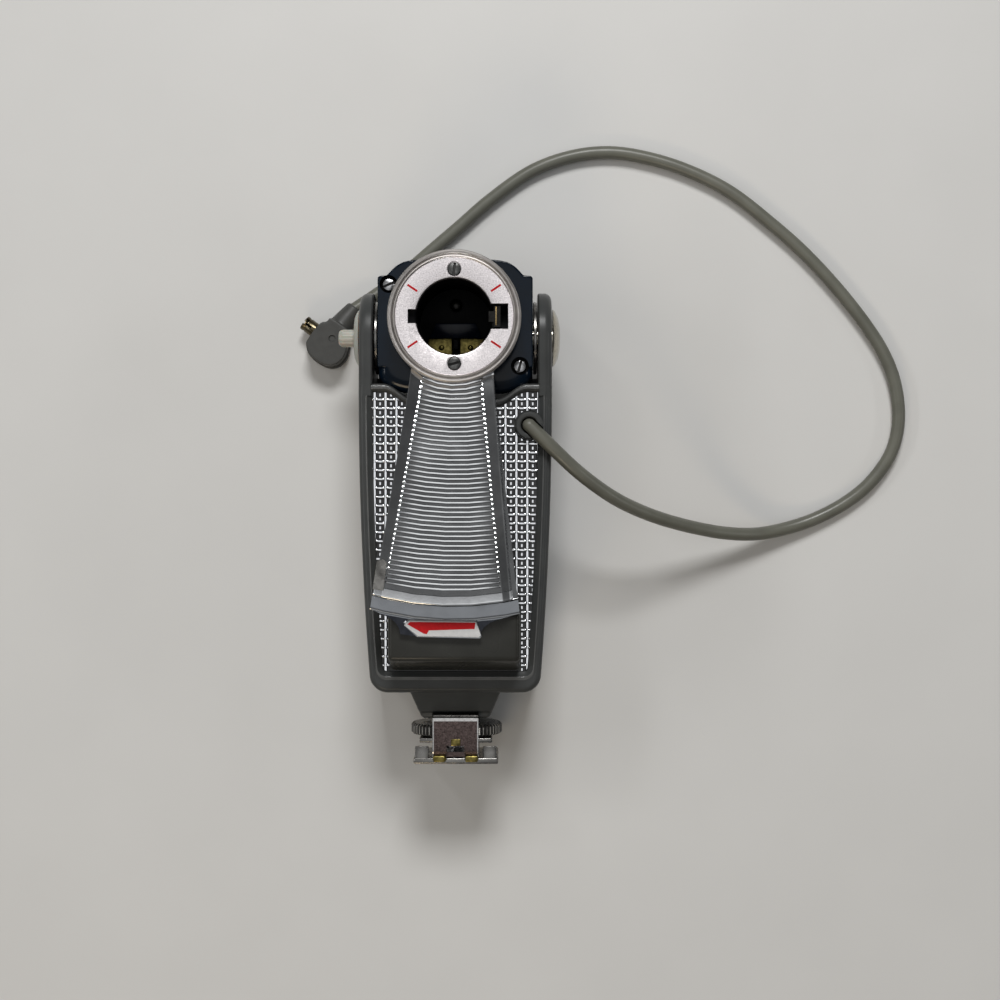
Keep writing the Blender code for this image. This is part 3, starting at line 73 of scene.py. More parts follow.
# Room light
# A lamp beyond the gun's head throws the cord's shadow toward the foot, two strip lamps and a small
# window at the sides draw the edges, and a warm lamp fills in from the foot. The ceiling is bright
# right overhead, and dimmer past the head and to the right.
LAMPS = (
    ("far_lamp", (0.05, 0.72, 0.82), (0.36, 0.26), 8.6, (1, 1, 1)),
    ("left_strip", (-0.75, 0.05, 0.55), (0.5, 0.08), 1.2, (1, 1, 1)),
    ("right_strip", (0.85, 0.0, 0.50), (0.5, 0.08), 0.7, (1, 1, 1)),
    ("left_window", (-0.55, 0.60, 0.75), (0.12, 0.12), 0.7, (1, 1, 1)),
    ("warm_fill", (-0.25, -0.68, 0.58), (0.34, 0.16), 1.3, (1, 0.82, 0.58)),
)
CEILING = ((0.0, 0.20), (0.55, 0.22), (0.82, 0.27), (0.93, 0.34), (0.975, 0.92), (1.0, 1.0))
CEILING_TINT = (0.98, 0.99, 1)
DIMMING = (("Y", 0.1, 0.32, 0.32), ("X", 0.15, 0.55, 0.22))

for name, place, size, power, tint in LAMPS:
    lamp = bpy.data.lights.new(name, "AREA")
    lamp.energy = power
    lamp.color = tint
    lamp.shape = "RECTANGLE"
    lamp.size, lamp.size_y = size
    holder = bpy.data.objects.new(name, lamp)
    SCENE.collection.objects.link(holder)
    holder.location = place
    holder.rotation_euler = Vector(place).to_track_quat("Z", "Y").to_euler()

world = bpy.data.worlds.new("room")
SCENE.world = world
world.use_nodes = True
nodes = world.node_tree.nodes
links = world.node_tree.links
toward = nodes.new("ShaderNodeSeparateXYZ")
links.new(nodes.new("ShaderNodeTexCoord").outputs["Generated"], toward.inputs["Vector"])
ceiling = nodes.new("ShaderNodeValToRGB")
while len(ceiling.color_ramp.elements) < len(CEILING):
    ceiling.color_ramp.elements.new(0.5)
for stop, (position, level) in zip(ceiling.color_ramp.elements, CEILING):
    stop.position = position
    stop.color = (*(tint * level for tint in CEILING_TINT), 1)
links.new(toward.outputs["Z"], ceiling.inputs["Fac"])
links.new(ceiling.outputs["Color"], nodes["Background"].inputs["Color"])
dimming = nodes.new("ShaderNodeMath")
dimming.operation = "MULTIPLY"
for slot, (way, start, end, least) in enumerate(DIMMING):
    side = nodes.new("ShaderNodeMapRange")
    side.inputs["From Min"].default_value = start
    side.inputs["From Max"].default_value = end
    side.inputs["To Min"].default_value = 1
    side.inputs["To Max"].default_value = least
    links.new(toward.outputs[way], side.inputs["Value"])
    links.new(side.outputs["Result"], dimming.inputs[slot])
links.new(dimming.outputs["Value"], nodes["Background"].inputs["Strength"])

# Table
# A pale laminate table top, almost plain, with a dull sheen and a faint mottle. It is far wider
# than the gun, so its edges never show.
TABLE_HALF = 1.6
TABLE_COLOUR = (0.55, 0.545, 0.53)
NOISE_SPAN = (0.3, 0.7)


def finish(name, colour, roughness, metallic=0.0, mottle=0.06, mottle_size=2, gloss_spread=0.06,
           grain=0.004, grain_size=0.25, **sockets):
    """A finish with a mottled colour, an uneven gloss and a fine grain, its sizes in millimetres."""
    mottle_size, grain, grain_size = (size * MM for size in (mottle_size, grain, grain_size))
    made = bpy.data.materials.new(name)
    made.use_nodes = True
    tree = made.node_tree
    shader = tree.nodes["Principled BSDF"]
    shader.inputs["Metallic"].default_value = metallic
    for socket, value in sockets.items():
        shader.inputs[socket.replace("_", " ").title().replace("Ior", "IOR")].default_value = value
    place = tree.nodes.new("ShaderNodeTexCoord").outputs["Object"]

    def noise(size, detail):
        node = tree.nodes.new("ShaderNodeTexNoise")
        node.inputs["Scale"].default_value = 1 / size
        node.inputs["Detail"].default_value = detail
        tree.links.new(place, node.inputs["Vector"])
        return node.outputs["Fac"]

    shades = tree.nodes.new("ShaderNodeValToRGB")
    dark, light = shades.color_ramp.elements
    dark.position, light.position = NOISE_SPAN
    dark.color = (*(c * (1 - mottle) for c in colour), 1)
    light.color = (*(min(c * (1 + mottle), 1) for c in colour), 1)
    tree.links.new(noise(mottle_size, 5), shades.inputs["Fac"])
    tree.links.new(shades.outputs["Color"], shader.inputs["Base Color"])
    gloss = tree.nodes.new("ShaderNodeMapRange")
    gloss.inputs["From Min"].default_value = NOISE_SPAN[0]
    gloss.inputs["From Max"].default_value = NOISE_SPAN[1]
    gloss.inputs["To Min"].default_value = max(roughness - gloss_spread, 0.02)
    gloss.inputs["To Max"].default_value = roughness + gloss_spread
    tree.links.new(noise(3 * mottle_size, 3), gloss.inputs["Value"])
    tree.links.new(gloss.outputs["Result"], shader.inputs["Roughness"])
    bump = tree.nodes.new("ShaderNodeBump")
    bump.inputs["Distance"].default_value = grain
    tree.links.new(noise(grain_size, 2), bump.inputs["Height"])
    tree.links.new(bump.outputs["Normal"], shader.inputs["Normal"])
    return made


def mesh_from(fill):
    """A mesh made by a function that fills an empty bmesh."""
    shape = bmesh.new()
    fill(shape)
    mesh = bpy.data.meshes.new("shape")
    shape.to_mesh(mesh)
    shape.free()
    return mesh


laminate = finish("table_laminate", TABLE_COLOUR, 0.42, mottle=0.015, mottle_size=30,
                  grain=0.01, grain_size=1.5)
top = mesh_from(lambda shape: bmesh.ops.create_grid(shape, x_segments=8, y_segments=8, size=TABLE_HALF))
top.materials.append(laminate)
table = bpy.data.objects.new("table", top)
SCENE.collection.objects.link(table)

# Plug
# A right-angle flash plug: a soft grey vinyl grip moulded over the cord's end, with a slotted
# nickel sleeve, a black insulator and a brass pin that push on to a camera's terminal.
PLUG_PLACE = Matrix.Translation((-30.0, 35.5, 0)) @ Matrix.Rotation(math.atan2(0.8, 0.6), 4, "Z")
PLUG_LEVEL = 3.4
PLUG_COLOUR = (0.048, 0.048, 0.045)
GRIP_OUTLINE = (
    (-2.4, 3.9), (-3.6, 2.6), (-4.2, 0.6), (-4.1, -1.6), (-3.4, -3.5), (-1.8, -4.7), (0.3, -4.9), (2.4, -4.2),
    (4.0, -3.0), (5.5, -2.5), (5.5, 2.5), (4.3, 3.0), (3.3, 3.9), (1.1, 4.2), (-1.0, 4.1),
)
GRIP_STEP = 0.35
GRIP_LEVELS = (0.1, 6.7)
GRIP_GRAIN = 0.17
FLANGE_TOP = 2.6
FLANGE_SPREAD = 1.08
TAIL_PROFILE = (
    (0, 3.0), (3.2, 3.0), (3.0, 5.0), (2.75, 6.5), (2.5, 8.0), (2.2, 9.5), (2.0, 10.6), (1.75, 10.9),
    (0, 10.9),
)
DIMPLE_PROFILE = ((0, 6.35), (0.7, 6.35), (0.95, 7.2), (0, 7.2))
DIMPLE_PLACE = (1.9, -0.3, 0)
SLEEVE_START = 4.1
SLEEVE_PROFILE = (
    (1.32, 0.0), (1.32, 3.1), (1.42, 3.3), (1.58, 3.3), (1.7, 3.15), (1.7, 2.6), (1.6, 2.45), (1.6, 2.2),
    (1.7, 2.05), (1.7, 0.0),
)
SLEEVE_X = 1.1
SLEEVE_SLOT = ((SLEEVE_X - 0.28, 5.2, PLUG_LEVEL), (SLEEVE_X + 0.28, 8.0, 6.0))


def smooth_run(points, step, closed=False):
    """Evenly spaced points on a smooth curve through the given ones."""
    points = [Vector(p) for p in points]
    if closed:
        points = [points[-1]] + points + points[:2]
    else:
        points = [2 * points[0] - points[1]] + points + [2 * points[-1] - points[-2]]
    fine = []
    for a, b, c, d in zip(points, points[1:], points[2:], points[3:]):
        for i in range(24):
            t = i / 24
            fine.append(0.5 * (2 * b + (c - a) * t + (2 * a - 5 * b + 4 * c - d) * t ** 2
                               + (3 * b - a - 3 * c + d) * t ** 3))
    fine.append(points[-2])
    lengths = [0.0]
    for before, after in zip(fine, fine[1:]):
        lengths.append(lengths[-1] + (after - before).length)
    count = round(lengths[-1] / step)
    run = []
    here = 0
    for i in range(count + 1):
        goal = lengths[-1] * i / count
        while here < len(fine) - 2 and lengths[here + 1] < goal:
            here += 1
        share = (goal - lengths[here]) / (lengths[here + 1] - lengths[here])
        run.append(fine[here].lerp(fine[here + 1], share))
    return run[:-1] if closed else run


def lofted(loops):
    """A closed skin over a run of loops that have the same number of points."""
    def fill(shape):
        rows = [[shape.verts.new(point) for point in loop] for loop in loops]
        for a, b in zip(rows, rows[1:]):
            for i in range(len(a)):
                j = (i + 1) % len(a)
                shape.faces.new((a[i], a[j], b[j], b[i]))
        shape.faces.new(rows[0])
        shape.faces.new(rows[-1])
        bmesh.ops.recalc_face_normals(shape, faces=shape.faces)
    return mesh_from(fill)


def prism(outline, low, high, way=Matrix()):
    """A flat outline drawn out between two levels along Z, or along another way."""
    return lofted([[way @ Vector((p[0], p[1], level)) for p in outline] for level in (low, high)])


def block(low, high, side=1):
    """A square-edged block between two corners, or its twin across the middle for side -1."""
    near, far = sorted((side * low[0], side * high[0]))
    return prism(((near, low[1]), (far, low[1]), (far, high[1]), (near, high[1])), low[2], high[2])


def turned(profile, place=Matrix(), steps=64, closed=False):
    """A profile of radius and height turned about Z, as on a lathe."""
    def fill(shape):
        rings = []
        for radius, height in profile:
            count = steps if radius > 0 else 1
            rings.append([shape.verts.new((radius * math.cos(2 * math.pi * i / steps),
                                           radius * math.sin(2 * math.pi * i / steps), height))
                          for i in range(count)])
        for a, b in list(zip(rings, rings[1:])) + ([(rings[-1], rings[0])] if closed else []):
            for i in range(steps):
                j = (i + 1) % steps
                corners = (a[i % len(a)], a[j % len(a)], b[j % len(b)], b[i % len(b)])
                shape.faces.new(dict.fromkeys(corners))
        bmesh.ops.recalc_face_normals(shape, faces=shape.faces)
        bmesh.ops.transform(shape, matrix=place, verts=shape.verts)
    return mesh_from(fill)


def together(*meshes):
    """Several meshes as one."""
    def fill(shape):
        for mesh in meshes:
            shape.from_mesh(mesh)
    return mesh_from(fill)


def worked(mesh, *steps):
    """The mesh after a run of modifiers, each given as its kind and its settings."""
    holder = bpy.data.objects.new("work", mesh)
    SCENE.collection.objects.link(holder)
    tools = []
    for kind, settings in steps:
        step = holder.modifiers.new(kind.lower(), kind)
        for name, value in settings.items():
            if isinstance(value, bpy.types.Mesh):
                tools.append(bpy.data.objects.new("tool", value))
                SCENE.collection.objects.link(tools[-1])
                value = tools[-1]
            setattr(step, name, value)
    made = bpy.data.meshes.new_from_object(holder.evaluated_get(bpy.context.evaluated_depsgraph_get()))
    for used in (holder, *tools):
        bpy.data.objects.remove(used)
    return made


def carved(mesh, *tools, operation="DIFFERENCE"):
    """The mesh with other solids cut from it, joined to it, or shared with it."""
    cuts = [{"operation": operation, "solver": "EXACT", "object": tool} for tool in tools]
    return worked(mesh, *(("BOOLEAN", cut) for cut in cuts))


def moulded(mesh, grain, passes):
    """Overlapping solids run together into one skin with soft corners."""
    return worked(mesh, ("REMESH", {"mode": "VOXEL", "voxel_size": grain}),
                  ("SMOOTH", {"factor": 0.5, "iterations": passes}))


def mount(name, mesh, material, body, slot, *nodes, crease=35):
    """Set a mesh drawn in millimetres on the body that carries it, in place of its CAD nodes."""
    mesh.transform(Matrix.Scale(MM, 4))
    mesh.materials.append(material)
    mesh.shade_smooth()
    mesh.set_sharp_from_angle(angle=math.radians(crease))
    piece = bpy.data.objects.new(name, mesh)
    SCENE.collection.objects.link(piece)
    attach(piece, body)
    if nodes:
        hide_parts(*nodes)
    return piece


def dress(material, *names):
    """Give CAD nodes that stay in view a finish."""
    for name in names:
        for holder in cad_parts[name].material_slots:
            holder.material = material


outline = smooth_run([(x, y, 0) for x, y in GRIP_OUTLINE], GRIP_STEP, closed=True)
grip = together(
    prism(outline, *GRIP_LEVELS),
    prism([FLANGE_SPREAD * p for p in outline], GRIP_LEVELS[0], FLANGE_TOP),
    turned(TAIL_PROFILE, Matrix.Translation((0, 0, PLUG_LEVEL)) @ Matrix.Rotation(math.pi / 2, 4, "Y")),
)
dimple = turned(DIMPLE_PROFILE, Matrix.Translation(DIMPLE_PLACE), 32)
grip = carved(moulded(grip, GRIP_GRAIN, 8), dimple)
grip.transform(PLUG_PLACE)
vinyl = finish("plug_vinyl", PLUG_COLOUR, 0.45, mottle=0.10, mottle_size=1.5, grain=0.01,
               grain_size=0.3, specular_ior_level=0.3)
plug_grip = mount("plug_grip", grip, vinyl, "gun_body", "grey_plastic", "plug_body", crease=50)

sleeve = turned(SLEEVE_PROFILE, Matrix.Translation((SLEEVE_X, SLEEVE_START, PLUG_LEVEL))
                @ Matrix.Rotation(-math.pi / 2, 4, "X"), 48, closed=True)
sleeve = carved(sleeve, block(*SLEEVE_SLOT))
sleeve.transform(PLUG_PLACE)
tarnished = finish("tarnished_nickel", (0.105, 0.088, 0.055), 0.24, metallic=1, mottle=0.2,
                   mottle_size=0.8)
plug_sleeve = mount("nickel_sleeve", sleeve, tarnished, "gun_body", "chrome_sheet", "plug_sleeve")
black_plastic = finish("black_plastic", (0.003, 0.003, 0.0033), 0.4, mottle=0.2, mottle_size=1.2,
                       specular_ior_level=0.04)
brass = finish("worn_brass", (0.55, 0.40, 0.19), 0.28, metallic=1, mottle=0.18, mottle_size=0.7,
               gloss_spread=0.1, grain=0.003)
dress(black_plastic, "plug_insulator")
dress(brass, "plug_pin")

# Sync cord
# A stiff two-core lead in a grey vinyl jacket, 3 mm thick. It leaves the bush on the case's front,
# drops to the table, and runs in one open loop round the head to the plug.
CORD_RADIUS = 1.5 * MM
CORD_STEP = 1.5 * MM
CORD_COLOUR = (0.115, 0.115, 0.094)
BUSH = (16.0, 16.1)
ROOT_PROFILE = ((0, 26.6), (1.5, 26.6), (1.5, 30.5), (1.39, 31.07), (1.06, 31.56), (0.57, 31.89), (0, 32.0))
CORD_ROUTE = (
    (0.0160, 0.0161, 0.0305), (0.0185, 0.0137, 0.0306), (0.0216, 0.0107, 0.0302),
    (0.0259, 0.0067, 0.0290), (0.0304, 0.0032, 0.0269), (0.0349, 0.0003, 0.0244),
    (0.0394, -0.0019, 0.0216), (0.0441, -0.0037, 0.0186), (0.0488, -0.0051, 0.0154),
    (0.0548, -0.0065, 0.0114), (0.0609, -0.0075, 0.0080), (0.0681, -0.0078, 0.0047),
    (0.0753, -0.0066, 0.0026), (0.0824, -0.0043, 0.0017), (0.0893, -0.0007, 0.0015),
    (0.0951, 0.0040, 0.0015), (0.0997, 0.0104, 0.0015), (0.1016, 0.0173, 0.0015),
    (0.1013, 0.0247, 0.0015), (0.0992, 0.0318, 0.0015), (0.0951, 0.0390, 0.0015),
    (0.0882, 0.0480, 0.0015), (0.0801, 0.0568, 0.0015), (0.0720, 0.0640, 0.0015),
    (0.0628, 0.0711, 0.0015), (0.0535, 0.0758, 0.0015), (0.0443, 0.0788, 0.0015),
    (0.0351, 0.0802, 0.0015), (0.0259, 0.0792, 0.0015), (0.0166, 0.0757, 0.0015),
    (0.0074, 0.0692, 0.0015), (0.0005, 0.0632, 0.0015), (-0.0065, 0.0572, 0.0015),
    (-0.0132, 0.0514, 0.0017), (-0.0186, 0.0474, 0.0024), (-0.02374, 0.04384, 0.0034),
)


def tube(name, run, radius, material, rings=5):
    """A round tube with closed ends along a run of points in metres."""
    curve = bpy.data.curves.new(name, "CURVE")
    curve.dimensions = "3D"
    curve.bevel_depth = radius
    curve.bevel_resolution = rings
    curve.use_fill_caps = True
    spline = curve.splines.new("POLY")
    spline.points.add(len(run) - 1)
    for point, place in zip(spline.points, run):
        point.co = (*place, 1)
    curve.materials.append(material)
    made = bpy.data.objects.new(name, curve)
    SCENE.collection.objects.link(made)
    return made


jacket = finish("cord_vinyl", CORD_COLOUR, 0.34, mottle=0.12, mottle_size=6, grain=0.006,
                specular_ior_level=0.35)
cord = tube("cord_jacket", smooth_run(CORD_ROUTE, CORD_STEP), CORD_RADIUS, jacket)
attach(cord, "gun_body")
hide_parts("sync_cord")
root = turned(ROOT_PROFILE, Matrix.Translation((*BUSH, 0)), 32)
mount("cord_root", root, jacket, "gun_body", "grey_cord")

# Front of the case
# A hollow grey moulding: a tapered box with a raised rim round its front, two arms that carry the
# head's pivot, and a drafted neck below for the foot. Its front edges are well rounded.
CASE_TOP = 24.3
CASE_FOOT = -41.8
CASE_HALF = 21.0
CASE_TAPER = 2.7
CASE_CORNER = 4.0
CASE_WALL = 2.0
CASE_EDGE = 1.3
CASE_SEAM = 5.3
SEAM_CHAMFER = 0.25
CASE_FRONT = 28.9
SIDE_TOP = 24.5
HOLLOW_TOP = 26.2
RIM_PROFILE = (
    (28.86, 1.42), (28.90, 1.55), (28.97, 1.64), (29.0, 1.75), (28.97, 1.86), (28.87, 1.97), (28.35, 2.9),
    (28.1, 3.0),
)
FOOT_BORDER = 1.7
LIP_RISE = 0.95
LIP_DIP = 3.1
LIP_OUTER = 15.6
LIP_INNER = 9.0
PIVOT = (35.8, 19.0)
ARM_RADII = (9.9, 10.0)
ARM_INNER = 18.0
ARM_EDGE = 1.6
ARM_ROOT = 22.6
WEB = ((17.0, 22.0, 6.0), (18.5, 27.4, 10.5))
PIVOT_BORES = (4.0, 3.3)
BUSH_BORE = 2.9
NECK_HALVES = (7.4, 10.2)
NECK_FOOT = -47.7
NECK_LEVELS = (4.3, 24.9)
NUB_X = 16.0
NUB_LEVELS = (8, 20)
GREY_COLOUR = (0.043, 0.045, 0.0445)
NECK_FRONT = ((-40.4, 28.3), (-41.4, 28.2), (-46.3, 25.1), (-46.3, 20.0), (-40.4, 20.0))
ALONG_X = Matrix(((0, 0, 1, 0), (1, 0, 0, 0), (0, 1, 0, 0), (0, 0, 0, 1)))


def held(value):
    """A value kept between nothing and one."""
    return min(max(value, 0), 1)


def softened(mesh, width, segments=3):
    """The mesh with its square edges rounded."""
    return worked(mesh, ("BEVEL", {"width": width, "segments": segments, "limit_method": "ANGLE",
                                   "angle_limit": math.radians(35)}))


def case_half(y):
    """Half the case's width at a height: full at the top, drawn in toward the foot."""
    return CASE_HALF - CASE_TAPER * ((CASE_TOP - y) / (CASE_TOP - CASE_FOOT)) ** 2


def case_loop(level, inset, foot=None, top=None):
    """The case's outline at one level, drawn in from its sides, its foot and its top."""
    foot_y = CASE_FOOT + (inset if foot is None else foot)
    top_y = CASE_TOP - (inset if top is None else top)
    corner = max(CASE_CORNER - inset, 0.8)
    corner_y = foot_y + corner
    corner_x = case_half(corner_y) - inset - corner
    half = [(corner_x + corner * math.sin(a), corner_y - corner * math.cos(a))
            for a in (math.pi / 2 * i / 10 for i in range(11))]
    for i in range(1, 25):
        y = corner_y + (top_y - corner_y) * i / 24
        half.append((case_half(y) - inset, y))
    for i in range(25):
        dip = LIP_DIP * (1 - math.cos(math.pi * i / 24)) / 2
        half.append((LIP_OUTER + (LIP_INNER - LIP_OUTER) * i / 24, top_y - dip))
    return [Vector((x, y, level)) for x, y in half + [(-x, y) for x, y in reversed(half)]]


def quarter(steps):
    """The sines and falls of a quarter turn, for rounding an edge."""
    return [(math.sin(a), 1 - math.cos(a)) for a in (math.pi / 2 * i / steps for i in range(steps + 1))]


def arm(side):
    """One pivot arm: a round-ended cheek with its outer edge rounded."""
    sections = [(ARM_INNER, 0.3), (ARM_INNER + 0.3, 0.0)]
    sections += [(CASE_HALF - ARM_EDGE + ARM_EDGE * rise, ARM_EDGE * fall) for rise, fall in quarter(6)]
    loops = []
    for x, shrink in sections:
        out, up = (radius - shrink for radius in ARM_RADII)
        run = [(ARM_ROOT, PIVOT[1] - up)]
        run += [(PIVOT[0] + out * math.cos(a), PIVOT[1] + up * math.sin(a))
                for a in (math.pi * (i / 32 - 0.5) for i in range(33))]
        run += [(ARM_ROOT, PIVOT[1] + up)]
        loops.append([Vector((side * x, y, z)) for y, z in run])
    return lofted(loops)


def bar(centre, radius, low, high, way=Matrix(), steps=32):
    """A round bar between two levels along a way, about a centre in the way's own plane."""
    ring = [(centre[0] + radius * math.cos(2 * math.pi * i / steps),
             centre[1] + radius * math.sin(2 * math.pi * i / steps)) for i in range(steps)]
    return prism(ring, low, high, way)


def touched(piece, material, where):
    """Put a second finish on the faces whose middle, in millimetres, and facing pass a test."""
    piece.data.materials.append(material)
    for face in piece.data.polygons:
        if where(face.center / MM, face.normal):
            face.material_index = len(piece.data.materials) - 1


shell = [case_loop(HOLLOW_TOP, CASE_WALL), case_loop(CASE_SEAM, CASE_WALL),
         case_loop(CASE_SEAM, SEAM_CHAMFER), case_loop(CASE_SEAM + SEAM_CHAMFER, 0), case_loop(SIDE_TOP, 0)]
for rise, fall in quarter(6):
    shell.append(case_loop(CASE_FRONT - CASE_EDGE + CASE_EDGE * rise, CASE_EDGE * fall,
                           top=0.5 * CASE_EDGE * fall - LIP_RISE))
for level, inset in RIM_PROFILE:
    border = FOOT_BORDER * held((inset - 1.32) / 0.3)
    shell.append(case_loop(level, inset, inset + border, 0.62 * inset - LIP_RISE))
neck = [(-NECK_HALVES[0], NECK_FOOT), (NECK_HALVES[0], NECK_FOOT),
        (NECK_HALVES[1], CASE_FOOT + 1.0), (-NECK_HALVES[1], CASE_FOOT + 1.0)]
slope = carved(prism(NECK_FRONT, -12, 12, ALONG_X), prism(neck, 10, 30), operation="INTERSECT")
neck = softened(prism(neck, *NECK_LEVELS), 0.8, 4)
nubs = [bar((side * NUB_X, CASE_FOOT + 0.1), 0.55, *NUB_LEVELS, steps=20) for side in (-1, 1)]
webs = [block(*WEB, side) for side in (-1, 1)]
housing = carved(lofted(shell), arm(-1), arm(1), *webs, neck, softened(slope, 0.5), *nubs, operation="UNION")
housing = carved(housing, bar(PIVOT, PIVOT_BORES[0], -25, -15, ALONG_X),
                 bar(PIVOT, PIVOT_BORES[1], 15, 25, ALONG_X), bar(BUSH, BUSH_BORE, 24, 30))
grey_plastic = finish("grey_moulding", GREY_COLOUR, 0.34, mottle=0.10, mottle_size=5, gloss_spread=0.08,
                      grain=0.006, grain_size=0.35, specular_ior_level=0.2)
# The rim's ridge top and the lip's top get a lighter grey: a painted highlight where the light catches them.
painted_highlight_grey = finish("painted_highlight_edge", (0.078, 0.079, 0.077), 0.2, mottle=0.2, mottle_size=3)
case_front = mount("case_front", housing, grey_plastic, "gun_body", "grey_plastic", "front_housing")
touched(case_front, painted_highlight_grey, lambda middle, facing:
        middle.y < 22.4 and middle.z > 28.93 and facing.z > 0.8
        or middle.y > 19.5 and abs(middle.x) < 17.8 and middle.z > 27.8 and facing.z > 0.3)

# Back of the case
# A shallow tray of the same grey plastic that closes the case from behind. A groove runs round its
# flat back, and one slotted screw near the foot draws it on to a boss in the front moulding.
COVER_TOP = 5.0
COVER_EDGE = 1.2
COVER_FLOOR = 2.0
GROOVE_LOOPS = ((0, 3.0), (0.3, 3.2), (0.3, 3.7), (0, 3.9))
COVER_SCREW = (10.0, -37.8)
STEEL_COLOUR = (0.50, 0.50, 0.51)


def off_axis(point, centre):
    """How far a point lies from an axis that stands along Z."""
    return (point.xy - Vector(centre)).length


def fit_screw(name, node, body, material, centre, seat, height, radius, turn, shank, flip=False):
    """A low-domed slotted screw above its seat, or below it when flipped, with painted shade in its slot."""
    profile = ((0, height), (0.5 * radius, 0.96 * height), (0.88 * radius, 0.80 * height),
               (radius, 0.45 * height), (radius, 0), (0.55 * radius, 0), (0.55 * radius, -shank), (0, -shank))
    slot = block((-2 * radius, -0.28, 0.1 * height), (2 * radius, 0.28, 2 * height))
    head = carved(turned(profile, steps=40), slot)
    head.transform(Matrix.Rotation(turn, 4, "Z"))
    if flip:
        head.transform(Matrix.Rotation(math.pi, 4, "X"))
    head.transform(Matrix.Translation((*centre, seat)))
    screw = mount(name, head, material, body, "dark_steel", node)
    rise = -height if flip else height
    touched(screw, recess_shade, lambda middle, facing: off_axis(middle, centre) < 0.92 * radius
            and 0.01 < (middle.z - seat) / rise < 0.6)


tray = [case_loop(COVER_FLOOR, CASE_WALL), case_loop(COVER_TOP, CASE_WALL),
        case_loop(COVER_TOP, SEAM_CHAMFER), case_loop(COVER_TOP - SEAM_CHAMFER, 0)]
tray += [case_loop(COVER_EDGE - COVER_EDGE * rise, COVER_EDGE * fall) for rise, fall in quarter(6)]
tray += [case_loop(level, inset) for level, inset in GROOVE_LOOPS]
cover = carved(lofted(tray), bar(COVER_SCREW, 1.75, -1, 1.1), bar(COVER_SCREW, 1.1, -1, 3, steps=20))
mount("case_back", cover, grey_plastic, "gun_body", "grey_plastic", "rear_cover")
steel = finish("screw_steel", STEEL_COLOUR, 0.26, metallic=1, mottle=0.14, mottle_size=0.6,
               gloss_spread=0.1)
# Near black painted shade for the slots of screws and the grooves of the knurled wheel.
recess_shade = finish("painted_recess_shade", (0.012, 0.011, 0.010), 0.5, mottle=0.3, mottle_size=0.5)
fit_screw("cover_fixing", "cover_screw", "gun_body", steel, COVER_SCREW, 0.95, 0.8, 1.45, 0.7, 7.0,
          flip=True)

# Battery and circuit
# A flat block battery in a paper wrap between two brass contacts, and behind the front wall a brown
# board with a capacitor and a resistor soldered to it, and a lead that runs to the cord.
paper = finish("battery_paper", (0.42, 0.40, 0.34), 0.6, mottle=0.12, mottle_size=3, grain=0.02)
board = finish("brown_board", (0.16, 0.085, 0.035), 0.5, mottle=0.2, mottle_size=0.8, grain=0.01)
brown_lacquer = finish("resistor_lacquer", (0.30, 0.14, 0.06), 0.3, mottle=0.2, mottle_size=1.5)
can = finish("capacitor_can", (0.42, 0.43, 0.44), 0.35, metallic=1, mottle=0.1, mottle_size=2)
dress(paper, "battery")
dress(brass, "contact_plus", "contact_minus")
dress(board, "terminal_board")
dress(can, "capacitor")
dress(brown_lacquer, "resistor")
dress(jacket, "cord_lead")

# Face plate
# A thin chromed sheet let into the front of the case inside its rim, pressed all over into crossing
# ridges with a blunt pip in each pit. Painted shade darkens the pits, and the tops are left bright.
PLATE_INSET = (3.1, 4.8, 1.0)
PLATE_LEVEL = 28.2
SHEET_THICK = 0.08
CELL_PITCH = (2.36, 1.918)
CELL_START = (-16.25, 22.74)
CELL_COUNT = (17, 33)
CELL_STEPS = ((-1.18, -0.97, -0.93, -0.78, -0.24, -0.20, -0.16, 0.16, 0.20, 0.24, 0.78, 0.93, 0.97),
              (-0.959, -0.79, -0.75, -0.62, -0.39, -0.35, -0.31, 0.31, 0.35, 0.39, 0.62, 0.75, 0.79))
RIDGE = (0.46, 0.445, 0.40, 0.02, 0.0, 0.0, 0.0, 0.0, 0.0, 0.0, 0.02, 0.40, 0.445)
PIP = (0.0, 0.0, 0.0, 0.0, 0.02, 0.38, 0.43, 0.43, 0.38, 0.02, 0.0, 0.0, 0.0)
PIT_SHADE_TOP = 0.3
REST_HALF = 14.0
REST_HEAD = -23.6
REST_ROOM = 0.3
BUSH_ROOM = 3.3


def waffle(shape):
    """A sheet pressed into crossing ridges, with a blunt pip standing in each pit between them."""
    columns = [(CELL_START[0] + CELL_PITCH[0] * (cell - 1) + step, k)
               for cell in range(CELL_COUNT[0]) for k, step in enumerate(CELL_STEPS[0])]
    rows = [(CELL_START[1] - CELL_PITCH[1] * cell + step, k)
            for cell in reversed(range(CELL_COUNT[1])) for k, step in enumerate(CELL_STEPS[1])]
    grid = []
    for y, j in rows:
        levels = [PLATE_LEVEL + max(RIDGE[i], 0.95 * RIDGE[j], min(PIP[i], PIP[j])) for x, i in columns]
        grid.append([shape.verts.new((x, y, level)) for (x, i), level in zip(columns, levels)])
    for a, b in zip(grid, grid[1:]):
        for i in range(len(a) - 1):
            shape.faces.new((a[i], a[i + 1], b[i + 1], b[i]))
    floor = [[shape.verts.new((v.co.x, v.co.y, PLATE_LEVEL - SHEET_THICK)) for v in line]
             for line in (grid[0], grid[-1])]
    for a, b in ((grid[0], floor[0]), (floor[1], grid[-1])):
        for i in range(len(a) - 1):
            shape.faces.new((b[i], b[i + 1], a[i + 1], a[i]))
    shape.faces.new([line[0] for line in grid[::-1]] + [floor[0][0], floor[1][0]])
    shape.faces.new([line[-1] for line in grid] + [floor[1][-1], floor[0][-1]])
    shape.faces.new([floor[1][0], *floor[0], *reversed(floor[1][1:])])
    bmesh.ops.recalc_face_normals(shape, faces=shape.faces)


